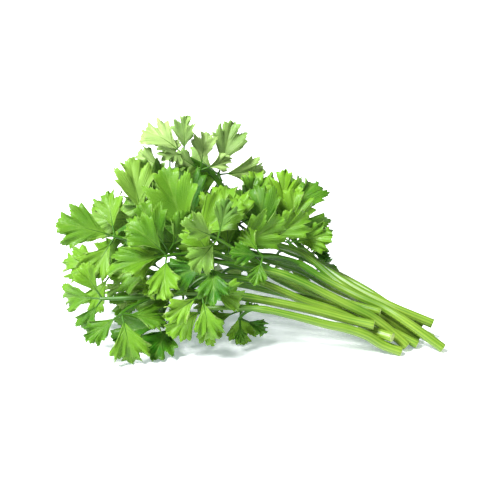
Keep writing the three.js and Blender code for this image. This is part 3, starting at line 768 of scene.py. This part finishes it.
def drawn_stalks(name, rails, tree, finish, sides, ribs, depth):
    """The stalks along the rails as one plain mesh object"""
    guide = bpy.data.objects.new(name + "_lines", lines_mesh(name + "_lines", rails))
    bpy.context.scene.collection.objects.link(guide)
    modifier = guide.modifiers.new("Ribbed Stalks", "NODES")
    modifier.node_group = tree
    values = {"Sides": sides, "Ribs": ribs, "Rib Depth": depth, "Finish": finish}
    for item in tree.interface.items_tree:
        if item.in_out == "INPUT" and item.name in values:
            modifier[item.identifier] = values[item.name]
    guide.update_tag()
    bpy.context.view_layer.update()
    evaluated = guide.evaluated_get(bpy.context.evaluated_depsgraph_get())
    mesh = bpy.data.meshes.new_from_object(evaluated)
    mesh.name = name
    bpy.data.objects.remove(guide)

    # Pressed flat where it would pass through the surface
    points = np.empty((len(mesh.vertices), 3), dtype=np.float32)
    mesh.vertices.foreach_get("co", points.ravel())
    points[:, 2] = np.maximum(points[:, 2], 0)
    mesh.vertices.foreach_set("co", points.ravel())
    mesh.update()
    return added(name, mesh)


def added(name, mesh):
    piece = bpy.data.objects.new(name, mesh)
    bpy.context.scene.collection.objects.link(piece)
    return piece


# Blades

def outline_of(leaflet, chance):
    """One half's edge from foot to tip: across, along and the vein's start, and the vein count"""
    half = leaflet["breadth"] * leaflet["length"]
    length = leaflet["length"]
    marks = [(FOOT_HALF, 0.0, 0.0)]
    shallow = chance.uniform(-0.2, 1)
    for mark in OUTLINE:
        stray = chance.uniform(-STRAY, STRAY, 2) * length * (mark["across"] > 0)
        x = (mark["across"] + shallow * mark["fill"][0]) * half + stray[0]
        y = (mark["along"] + shallow * mark["fill"][1]) * length + stray[1]
        point = (x, y, mark["vein"] * length)
        if mark["between"]:
            before = marks[-1]
            for k in range(mark["between"]):
                share = (k + 1) / (mark["between"] + 1)
                x, y, start = (a + (b - a) * share for a, b in zip(before, point))
                out = unit(np.array([x, y - start]))
                tooth = len(marks) % 2 == 1
                height = chance.uniform(0.6, 1.2) if tooth else -chance.uniform(0.15, 0.5)
                reach = TOOTH_HEIGHT * length * height
                marks.append((x + out[0] * reach, y + out[1] * reach, start))
        marks.append(point)
    rows = []
    for k in range(len(marks) - 1):
        a, b = np.array(marks[k]), np.array(marks[k + 1])
        steps = FOOT_ROWS if k == 0 else TOOTH_ROWS
        bulge = FOOT_BULGE if k == 0 else TOOTH_BULGE
        for step in range(steps):
            share = step / steps
            point = a + (b - a) * share
            out = unit(np.array([point[0], point[1] - point[2] + 0.001]))
            swell = bulge * length * math.sin(math.pi * share)
            rows.append((point[0] + out[0] * swell, point[1] + out[1] * swell, point[2], (k + share) / 2))
    rows.append((0.0, length, length, (len(marks) - 1) / 2))
    return np.array(rows)


def blade_grid(columns, rows):
    """Faces of a blade's upper side, and its rim, over two half grids that share the midrib"""
    last = rows - 1

    def spot(side, row, column):
        if row == last:
            return last
        if column == 0:
            return row
        return rows + (side * last + row) * columns + column - 1

    faces = []
    for side in (0, 1):
        for row in range(last):
            for column in range(columns):
                corners = [(row, column), (row, column + 1), (row + 1, column + 1), (row + 1, column)]
                face = [spot(side, *corner) for corner in corners]
                face = face[:3] if row == last - 1 else face
                faces.append(face if side == 0 else face[::-1])
    right = [spot(0, row, columns) for row in range(last)]
    left = [spot(1, row, columns) for row in range(last)]
    foot_right = [spot(0, 0, column) for column in range(columns)]
    foot_left = [spot(1, 0, column) for column in range(1, columns)]
    return faces, foot_right + right + [last] + left[::-1] + foot_left[::-1]


def blade(leaflet, index, settings):
    """One leaflet's blade as a thin closed sheet: points, faces, sides and the attributes of each point"""
    chance = np.random.default_rng(FINE_SEED + index)
    halves = [outline_of(leaflet, chance) for _ in range(2)]
    rows = len(halves[0])
    shares = np.linspace(0, 1, BLADE_COLUMNS + 1)[1:]
    mean = (halves[0] + halves[1]) / 2
    flat = [np.stack([np.zeros(rows), mean[:, 2]], axis=1)]
    veins = [np.stack([mean[:, 3], np.zeros(rows)], axis=1)]
    for sign, half in zip((1, -1), halves):
        start = np.stack([np.zeros(rows - 1), mean[:-1, 2]], axis=1)[:, None]
        end = (half[:-1, :2] * (sign, 1))[:, None]
        flat.append((start + (end - start) * shares[None, :, None]).reshape(-1, 2))
        count = np.repeat(half[:-1, 3], BLADE_COLUMNS)
        veins.append(np.stack([count, np.tile(shares, rows - 1)], axis=1))
    flat, veins = np.vstack(flat), np.vstack(veins)
    middle = bent(leaflet, flat[:, 0], flat[:, 1])
    faces, rim = blade_grid(BLADE_COLUMNS, rows)
    normals = point_normals(middle, faces)

    # Swollen between the veins, with a groove over the midrib and an edge that waves
    swell = np.sin(np.pi * veins[:, 1] ** 2) * np.cos(np.pi * veins[:, 0]) ** 2
    groove = np.exp(-((flat[:, 0] / GROOVE_HALF) ** 2)) * (1 - flat[:, 1] / leaflet["length"])
    waves = np.sin(veins[:, 0] * chance.uniform(0.7, 1.3) + chance.uniform(0, 6.28) + np.sign(flat[:, 0]))
    lift = settings.quilting / MILLIMETRE * swell - settings.midrib_depth / MILLIMETRE * groove
    lift += settings.edge_wave / MILLIMETRE * waves * veins[:, 1] ** 2 * flat[:, 1] / leaflet["length"]
    middle = middle + normals * lift[:, None]
    normals = point_normals(middle, faces)
    thin = settings.thickness / MILLIMETRE / 2 * (1 - 0.5 * veins[:, 1:] ** 4)
    both = np.vstack([middle + normals * thin, middle - normals * thin])

    under = len(middle)
    all_faces = faces + [[under + k for k in face[::-1]] for face in faces]
    all_faces += [[b, a, under + a, under + b] for a, b in zip(rim, rim[1:] + rim[:1])]
    sides = [0] * len(faces) + [1] * (len(faces) + len(rim))
    place = np.column_stack([flat, np.full(len(flat), index * PATTERN_APART)])
    tone = np.column_stack([veins, np.full(len(flat), chance.uniform(0, 1))])
    return both, all_faces, sides, np.vstack([place, place]), np.vstack([tone, tone])


def painted_top_light_of(spray):
    """Painted light: 0 for the leaves low in the bunch, rising to 1 for the leaves at the top, which are
    painted paler as if more brightly lit
    """
    return float(np.clip((spray["fork"][2] - TOP_LIGHT_FROM) / TOP_LIGHT_OVER, 0, 1))


def point_normals(points, faces):
    corners = np.array([face[:3] for face in faces])
    a, b, c = (points[corners[:, k]] for k in range(3))
    face_normals = np.cross(b - a, c - a)
    normals = np.zeros_like(points)
    for face, normal in zip(faces, face_normals):
        normals[face] += normal
    return normals / np.maximum(np.linalg.norm(normals, axis=1, keepdims=True), 1e-12)


def pressed_on_surface(own, thickness):
    """A blade's points with none under the surface, and its higher side its thickness above the lower one"""
    other_side = np.roll(own[:, 2], len(own) // 2)
    lowest = np.where(own[:, 2] > other_side, thickness, 0)
    own[:, 2] = np.maximum(own[:, 2], lowest)
    return own


def blades_piece(name, sprays, finishes, settings):
    """All the blades of one leafy stem as one piece"""
    points, faces, sides, places, tones, painted_top_lights = [], [], [], [], [], []
    start = 0
    for spray in sprays:
        for index, leaflet in zip(spray["numbers"], spray["leaflets"]):
            own, own_faces, own_sides, place, tone = blade(leaflet, index, settings)
            own = spray["fork"] + own @ leaflet["turn"].T
            points.append(pressed_on_surface(own, settings.thickness / MILLIMETRE))
            faces += [[start + k for k in face] for face in own_faces]
            sides += own_sides
            places.append(place)
            tones.append(tone)
            # Painted light: how much paler each point of the blade is painted, by its spray's height
            painted_top_lights += [painted_top_light_of(spray)] * len(own)
            start += len(own)
    mesh = bpy.data.meshes.new(name)
    mesh.from_pydata(in_frame(np.vstack(points)).tolist(), [], faces)
    for finish in finishes:
        mesh.materials.append(finish)
    mesh.polygons.foreach_set("material_index", sides)
    mesh.polygons.foreach_set("use_smooth", [True] * len(faces))
    for attribute, values in (("blade_place", places), ("blade_vein", tones)):
        stored = mesh.attributes.new(attribute, "FLOAT_VECTOR", "POINT")
        stored.data.foreach_set("vector", np.vstack(values).ravel())
    # Stores the painted light that pales the top leaves
    mesh.attributes.new("blade_painted_top_light", "FLOAT", "POINT").data.foreach_set("value", painted_top_lights)
    mesh.update()
    return added(name, mesh)


# Node trees written as Python expressions

class Channel:
    """A node's socket, so that maths on what it carries reads as Python"""

    def __init__(self, bench, node, socket):
        self.bench = bench
        self.node = node
        self.socket = socket

    def __getitem__(self, name):
        return Channel(self.bench, self.node, self.node.outputs[name])

    def maths(self, operation, *values):
        return self.bench.add("ShaderNodeMath", {"operation": operation}, dict(enumerate(values)))

    def __add__(self, other):
        return self.maths("ADD", self, other)

    def __radd__(self, other):
        return self.maths("ADD", other, self)

    def __sub__(self, other):
        return self.maths("SUBTRACT", self, other)

    def __rsub__(self, other):
        return self.maths("SUBTRACT", other, self)

    def __mul__(self, other):
        return self.maths("MULTIPLY", self, other)

    def __rmul__(self, other):
        return self.maths("MULTIPLY", other, self)

    def __pow__(self, other):
        return self.maths("POWER", self, other)

    def __rpow__(self, other):
        return self.maths("POWER", other, self)

    def __abs__(self):
        return self.maths("ABSOLUTE", self)

    def cosine(self):
        return self.maths("COSINE", self)

    def fraction(self):
        return self.maths("FRACT", self)

    def angle_from(self, other):
        return self.maths("ARCTAN2", self, other)

    def below(self, low, high):
        """1 under low, 0 over high and smooth between"""
        ends = {"From Min": low, "From Max": high, "To Min": 1, "To Max": 0}
        smooth = {"interpolation_type": "SMOOTHSTEP"}
        return self.bench.add("ShaderNodeMapRange", smooth, {"Value": self, **ends})


class Bench:
    """Adds nodes to a tree, each with its settings first and then its sockets' values or links"""

    def __init__(self, tree):
        self.tree = tree

    def add(self, kind, settings=None, inputs=None, output=0):
        node = self.tree.nodes.new(kind)
        for name, value in (settings or {}).items():
            if name == "capture_items":
                node.capture_items.new(*value)
            else:
                setattr(node, name, value)
        for name, value in (inputs or {}).items():
            socket = node.inputs[name]
            if isinstance(value, Channel):
                self.tree.links.new(value.socket, socket)
            elif socket.type == "RGBA":
                socket.default_value = (*value[:3], 1)
            else:
                socket.default_value = value
        return Channel(self, node, node.outputs[output] if node.outputs else None)

    def captured(self, kind, name, geometry, value):
        kept = {"capture_items": (kind, name)}
        return self.add("GeometryNodeCaptureAttribute", kept, {0: geometry, 1: value})

    def blend(self, share, first, second):
        return self.add("ShaderNodeMix", {"data_type": "RGBA"}, {0: share, 6: first, 7: second}, output=2)

    def attribute(self, name):
        vector = self.add("ShaderNodeAttribute", {"attribute_name": name})["Vector"]
        return vector, self.add("ShaderNodeSeparateXYZ", {}, {0: vector})

    def noise(self, place, scale, detail=3, roughness=0.5):
        look = {"Scale": scale, "Detail": detail, "Roughness": roughness}
        return self.add("ShaderNodeTexNoise", {}, {"Vector": place, **look})

    def stretched(self, place, scale):
        return self.add("ShaderNodeMapping", {}, {"Vector": place, "Scale": scale})

    def relief(self, strength, distance, height):
        return self.add("ShaderNodeBump", {}, {"Strength": strength, "Distance": distance, "Height": height})

    def skin(self, colour, rough, relief, specular):
        return self.add(
            "ShaderNodeBsdfPrincipled", {},
            {"Base Color": colour, "Roughness": rough, "Normal": relief, "Specular IOR Level": specular},
        )


def new_finish(name):
    finish = bpy.data.materials.new(name)
    finish.use_nodes = True
    finish.node_tree.nodes.clear()
    return finish, Bench(finish.node_tree)


def leaf_finish(name, settings, upper):
    """A blade's surface: pale veins that run to the teeth, a fine net between them, uneven green, and painted
    light that pales the top leaves
    """
    finish, bench = new_finish(name)
    place, flat = bench.attribute("blade_place")
    _, vein = bench.attribute("blade_vein")
    spot = bench.add("ShaderNodeTexCoord")["Object"]
    between = abs(vein["X"].fraction() - 0.5) * (vein["Y"] * 5 + 0.2)
    side_vein = between.below(0.08, 0.36) * (1 - vein["Y"] * 0.6)
    midrib = abs(flat["X"]).below(0.15, 0.6)
    veins = side_vein.maths("MAXIMUM", side_vein, midrib)
    edges = {"feature": "DISTANCE_TO_EDGE"}
    cells = bench.add("ShaderNodeTexVoronoi", edges, {"Vector": place, "Scale": 0.75})
    net = cells.below(0.02, 0.16)
    patches = bench.noise(spot, 90, 4, 0.6)
    clouds = bench.noise(spot, 22, 2)
    fresh = vein["Z"] * 0.85 + clouds * 1.1 + patches * 0.45 - 0.75 + vein["Y"] ** 3 * 0.15
    deep_colour = settings.deep if upper else settings.under_deep
    fresh_colour = settings.fresh if upper else settings.under_fresh
    grown = bench.blend(fresh, deep_colour, fresh_colour)
    # Painted light: the top leaves are blended towards a paler green by height, as if more brightly lit
    painted_top_light = bench.add("ShaderNodeAttribute", {"attribute_name": "blade_painted_top_light"})["Fac"]
    green = bench.blend(painted_top_light * (patches * 0.8 + vein["Z"] * 0.5), grown, settings.sunlit)
    netted = bench.blend(net * 0.12, green, settings.vein)
    colour = bench.blend(veins * (0.22 if upper else 0.4), netted, settings.vein)
    rough = bench.noise(place, 0.5, 3) * 0.18 + (settings.gloss if upper else 0.5)
    if upper:
        height = patches * 0.6 - net * 0.2 - veins * 0.25
    else:
        height = veins * 0.9 + net * 0.5 + patches * 0.3
    relief = bench.relief(0.75, 0.00045, height)
    skin = bench.skin(colour, rough, relief, 0.24 if upper else 0.1)
    glow = bench.add("ShaderNodeBsdfTranslucent", {}, {"Color": settings.glow})
    mixed = bench.add("ShaderNodeMixShader", {}, {0: settings.glow_share, 1: skin, 2: glow})
    bench.add("ShaderNodeOutputMaterial", {}, {"Surface": mixed})
    return finish


def stalk_finish(name, settings):
    """Pale green with darker grooves and fibres along the stalk, and a wet, paler cut end"""
    finish, bench = new_finish(name)
    fibre, ring = bench.attribute("fibre")
    spot = bench.add("ShaderNodeTexCoord")["Object"]
    from_cut = bench.add("ShaderNodeAttribute", {"attribute_name": "from_cut"})["Fac"]
    angle = ring["Y"].angle_from(ring["X"])
    rib = (angle * settings.ribs).cosine() * 0.5 + 0.5
    streaks = bench.noise(bench.stretched(fibre, (5, 5, 28)), 1, 4, 0.6)
    clouds = bench.noise(spot, 26, 3)
    pale = rib * 0.28 + streaks * 0.9 + clouds * 1.2 - 0.75 - from_cut * 3
    green = bench.blend(pale, settings.green, settings.pale)
    cut = from_cut.below(0.0001, 0.0005)
    pith = bench.noise(spot, 2600, 2) * 0.5 + 0.35
    colour = bench.blend(cut, green, bench.blend(pith, settings.cut_dark, settings.cut_pale))
    rough = streaks * 0.2 + settings.gloss
    relief = bench.relief(0.5, 0.00025, streaks * 0.7 + rib * 0.2)
    skin = bench.skin(colour, rough, relief, 0.35)
    bench.add("ShaderNodeOutputMaterial", {}, {"Surface": skin})
    return finish


def surface_finish(settings):
    finish, bench = new_finish("pale_surface")
    spot = bench.add("ShaderNodeTexCoord")["Object"]
    rough = bench.noise(spot, 40, 3) * 0.1 + 0.6
    skin = bench.add(
        "ShaderNodeBsdfPrincipled", {},
        {
            "Base Color": settings.surface, "Roughness": rough,
            "Emission Color": settings.glow, "Emission Strength": settings.glow_strength,
        },
    )
    bench.add("ShaderNodeOutputMaterial", {}, {"Surface": skin})
    return finish


# What a user would change

def colour_setting(name, description, default):
    return bpy.props.FloatVectorProperty(
        name=name, description=description, default=default, subtype="COLOR", size=3, min=0, max=1
    )


def length_setting(name, description, default):
    return bpy.props.FloatProperty(name=name, description=description, default=default, unit="LENGTH", min=0)


def share_setting(name, description, default):
    return bpy.props.FloatProperty(
        name=name, description=description, default=default, subtype="FACTOR", min=0, max=1
    )


def angle_setting(name, description, degrees):
    return bpy.props.FloatProperty(
        name=name, description=description, default=math.radians(degrees), subtype="ANGLE"
    )


def strength_setting(name, description, default):
    return bpy.props.FloatProperty(name=name, description=description, default=default, min=0)


class StalkSettings(bpy.types.PropertyGroup):
    """Sizes and colours of the stalks"""
    ribs: bpy.props.IntProperty(name="Ribs", description="Ribs round a long stalk", default=9, min=3)
    rib_depth: share_setting("Rib Depth", "How far a rib stands out, as a share of the radius", 0.035)
    swelling: length_setting("Swelling", "How much thicker a stalk is where a side stalk leaves", 0.0004)
    pale: colour_setting("Ribs Colour", "Colour of the ribs and the pale lengths", (0.25, 0.37, 0.04))
    green: colour_setting("Grooves Colour", "Colour of the grooves and green lengths", (0.036, 0.13, 0.002))
    cut_pale: colour_setting("Pith Colour", "Colour inside a cut end", (0.46, 0.54, 0.22))
    cut_dark: colour_setting("Cut Ring Colour", "Darker flecks in a cut end", (0.23, 0.34, 0.06))
    gloss: share_setting("Stalk Roughness", "How matt the stalks are", 0.27)


class LeafSettings(bpy.types.PropertyGroup):
    """Sizes and colours of the leaves"""
    thickness: length_setting("Thickness", "Thickness of a blade", 0.00035)
    midrib_depth: length_setting("Midrib Depth", "How far the midrib lies under the blade", 0.0003)
    quilting: length_setting("Quilting", "How far the blade swells between its veins", 0.00024)
    edge_wave: length_setting("Edge Wave", "How far the blade's edge waves", 0.0026)
    fresh: colour_setting("Fresh Green", "Upper side where it is brightest", (0.17, 0.37, 0.018))
    deep: colour_setting("Deep Green", "Upper side where it is darkest", (0.012, 0.11, 0.0008))
    # Painted light: the paler green that the top leaves are painted with, as if more brightly lit
    sunlit: colour_setting("Sunlit Green", "Colour of the young leaves at the top", (0.43, 0.6, 0.21))
    under_fresh: colour_setting("Underside Fresh", "Underside where it is brightest", (0.31, 0.47, 0.12))
    under_deep: colour_setting("Underside Deep", "Underside where it is darkest", (0.055, 0.2, 0.008))
    vein: colour_setting("Vein Colour", "Colour of the veins", (0.27, 0.44, 0.07))
    glow: colour_setting("Light Through", "Colour of light that comes through a blade", (0.22, 0.45, 0.008))
    glow_share: share_setting("Light Through Share", "How much light comes through a blade", 0.18)
    gloss: share_setting("Leaf Roughness", "How matt the upper sides are", 0.26)


class StageSettings(bpy.types.PropertyGroup):
    """The surface, the camera and the light"""
    surface: colour_setting("Surface Colour", "Colour of the surface under the bunch", (0.9, 0.91, 0.92))
    glow: colour_setting("Surface Glow", "Colour of the light that the surface gives off", (0.8, 0.92, 1))
    glow_strength: strength_setting("Glow Strength", "How much the surface's light pales the shadows", 0.3)
    elevation: angle_setting("Elevation", "How far above the surface the camera looks from", 22)
    distance: length_setting("Distance", "From the camera to the middle of the picture", 0.84)
    lens: bpy.props.FloatProperty(name="Lens", description="Focal length in millimetres", default=85, min=1)
    key_strength: strength_setting("Key Light", "Strength of the broad light from the upper left", 8.6)
    key_spread: angle_setting("Key Spread", "How wide the broad light is, which softens shadows", 24)
    sky: strength_setting("Surrounding Light", "Light from all around", 0.46)


class CORIANDER_OT_stalks(bpy.types.Operator):
    """Makes the long stalks with their cut ends, and the side stalks"""
    bl_idname = "coriander.stalks"
    bl_label = "Make Stalks"

    def execute(self, context):
        settings = context.scene.coriander_stalks
        lines, sprays = grown_bunch()
        finish = stalk_finish("fresh_stalk", settings)
        tree = ribbed_stalk_tree()
        for s, stem in enumerate(STEMS):
            own = [spray for spray in sprays if spray["stem"] == s]
            rails = [main_stalk(stem, lines[s], own, settings.swelling / MILLIMETRE)]
            rails += [side_stalk(spray) for spray in own if not spray["ends"]]
            name = node_of(s) + "_stalks"
            piece = drawn_stalks(name, rails, tree, finish, STALK_SIDES, settings.ribs, settings.rib_depth)
            dress(piece, s)
        return {"FINISHED"}


class CORIANDER_OT_leaflet_stalks(bpy.types.Operator):
    """Makes the short stalk of each leaflet, which runs on as its midrib"""
    bl_idname = "coriander.leaflet_stalks"
    bl_label = "Make Leaflet Stalks"

    def execute(self, context):
        settings = context.scene.coriander_leaves
        _, sprays = grown_bunch()
        finish = stalk_finish("leaflet_stalk", context.scene.coriander_stalks)
        tree = ribbed_stalk_tree()
        for s in range(len(STEMS)):
            rails = []
            for spray in sprays:
                if spray["stem"] == s:
                    rails += [leaflet_stalk(spray, leaflet, settings) for leaflet in spray["leaflets"]]
            piece = drawn_stalks(
                node_of(s) + "_leaflet_stalks", rails, tree, finish,
                LEAFLET_STALK_SIDES, LEAFLET_STALK_RIBS, LEAFLET_STALK_RIB_DEPTH,
            )
            dress(piece, s)
        return {"FINISHED"}


class CORIANDER_OT_leaves(bpy.types.Operator):
    """Makes the toothed, three-lobed blades"""
    bl_idname = "coriander.leaves"
    bl_label = "Make Leaves"

    def execute(self, context):
        settings = context.scene.coriander_leaves
        _, sprays = grown_bunch()
        finishes = [leaf_finish("leaf_upper", settings, True), leaf_finish("leaf_underside", settings, False)]
        number = 0
        for spray in sprays:
            spray["numbers"] = range(number, number + len(spray["leaflets"]))
            number += len(spray["leaflets"])
        for s in range(len(STEMS)):
            own = [spray for spray in sprays if spray["stem"] == s]
            piece = blades_piece(node_of(s) + "_leaves", own, finishes, settings)
            dress(piece, s)
        return {"FINISHED"}


class CORIANDER_OT_stage(bpy.types.Operator):
    """Sets the pale surface, the camera and the soft light"""
    bl_idname = "coriander.stage"
    bl_label = "Set the Stage"

    def execute(self, context):
        settings = context.scene.coriander_stage
        corners = [(x * SURFACE_HALF, y * SURFACE_HALF, 0) for x, y in ((-1, -1), (1, -1), (1, 1), (-1, 1))]
        mesh = bpy.data.meshes.new("surface")
        mesh.from_pydata(corners, [], [(0, 1, 2, 3)])
        mesh.materials.append(surface_finish(settings))
        added("surface", mesh)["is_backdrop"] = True

        target = Vector(in_frame(LOOK_AT))
        back = Vector((0, -math.cos(settings.elevation), math.sin(settings.elevation)))
        camera = bpy.data.objects.new("camera", bpy.data.cameras.new("camera"))
        camera.data.lens = settings.lens
        camera.data.clip_end = 30
        camera.location = target + back * settings.distance
        camera.rotation_euler = (-back).to_track_quat("-Z", "Y").to_euler()
        context.scene.collection.objects.link(camera)
        context.scene.camera = camera

        key = bpy.data.lights.new("key", "SUN")
        key.angle = settings.key_spread
        key.energy = settings.key_strength
        lamp = bpy.data.objects.new("key", key)
        lamp.location = SUN_FROM
        lamp.rotation_euler = lamp.location.to_track_quat("Z", "Y").to_euler()
        context.scene.collection.objects.link(lamp)

        world = bpy.data.worlds.new("soft_surroundings")
        world.use_nodes = True
        world.node_tree.nodes["Background"].inputs["Color"].default_value = (1, 1, 1, 1)
        world.node_tree.nodes["Background"].inputs["Strength"].default_value = settings.sky
        context.scene.world = world
        context.scene.view_settings.view_transform = "Standard"
        return {"FINISHED"}


class CORIANDER_PT_panel(bpy.types.Panel):
    """Lists the bunch's parts and their settings"""
    bl_label = "Coriander Bunch"
    bl_idname = "CORIANDER_PT_panel"
    bl_space_type = "VIEW_3D"
    bl_region_type = "UI"
    bl_category = "Coriander"

    def draw(self, context):
        scene = context.scene
        for group, makers in PANEL_ROWS:
            box = self.layout.box()
            for maker in makers:
                box.operator(maker.bl_idname)
            settings = getattr(scene, group)
            for name in settings.__annotations__:
                box.prop(settings, name)


def dress(piece, stem):
    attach(piece, BODY)
    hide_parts(node_of(stem))


PANEL_ROWS = (
    ("coriander_stalks", (CORIANDER_OT_stalks, CORIANDER_OT_leaflet_stalks)),
    ("coriander_leaves", (CORIANDER_OT_leaves,)),
    ("coriander_stage", (CORIANDER_OT_stage,)),
)
SETTINGS = {
    "coriander_stalks": StalkSettings,
    "coriander_leaves": LeafSettings,
    "coriander_stage": StageSettings,
}
MAKERS = [maker for _, makers in PANEL_ROWS for maker in makers]
CLASSES = (*SETTINGS.values(), *MAKERS, CORIANDER_PT_panel)


def register():
    for cls in CLASSES:
        bpy.utils.register_class(cls)
    for name, group in SETTINGS.items():
        setattr(bpy.types.Scene, name, bpy.props.PointerProperty(type=group))


def unregister():
    for name in SETTINGS:
        delattr(bpy.types.Scene, name)
    for cls in reversed(CLASSES):
        bpy.utils.unregister_class(cls)


def main():
    register()
    bpy.ops.coriander.stage()
    bpy.ops.coriander.stalks()
    bpy.ops.coriander.leaflet_stalks()
    bpy.ops.coriander.leaves()
    boxes = {"cad": CAD_BOX, "visual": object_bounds()}
    plain = {name: [[float(v) for v in corner] for corner in box] for name, box in boxes.items()}


if __name__ == "__main__":
    main()
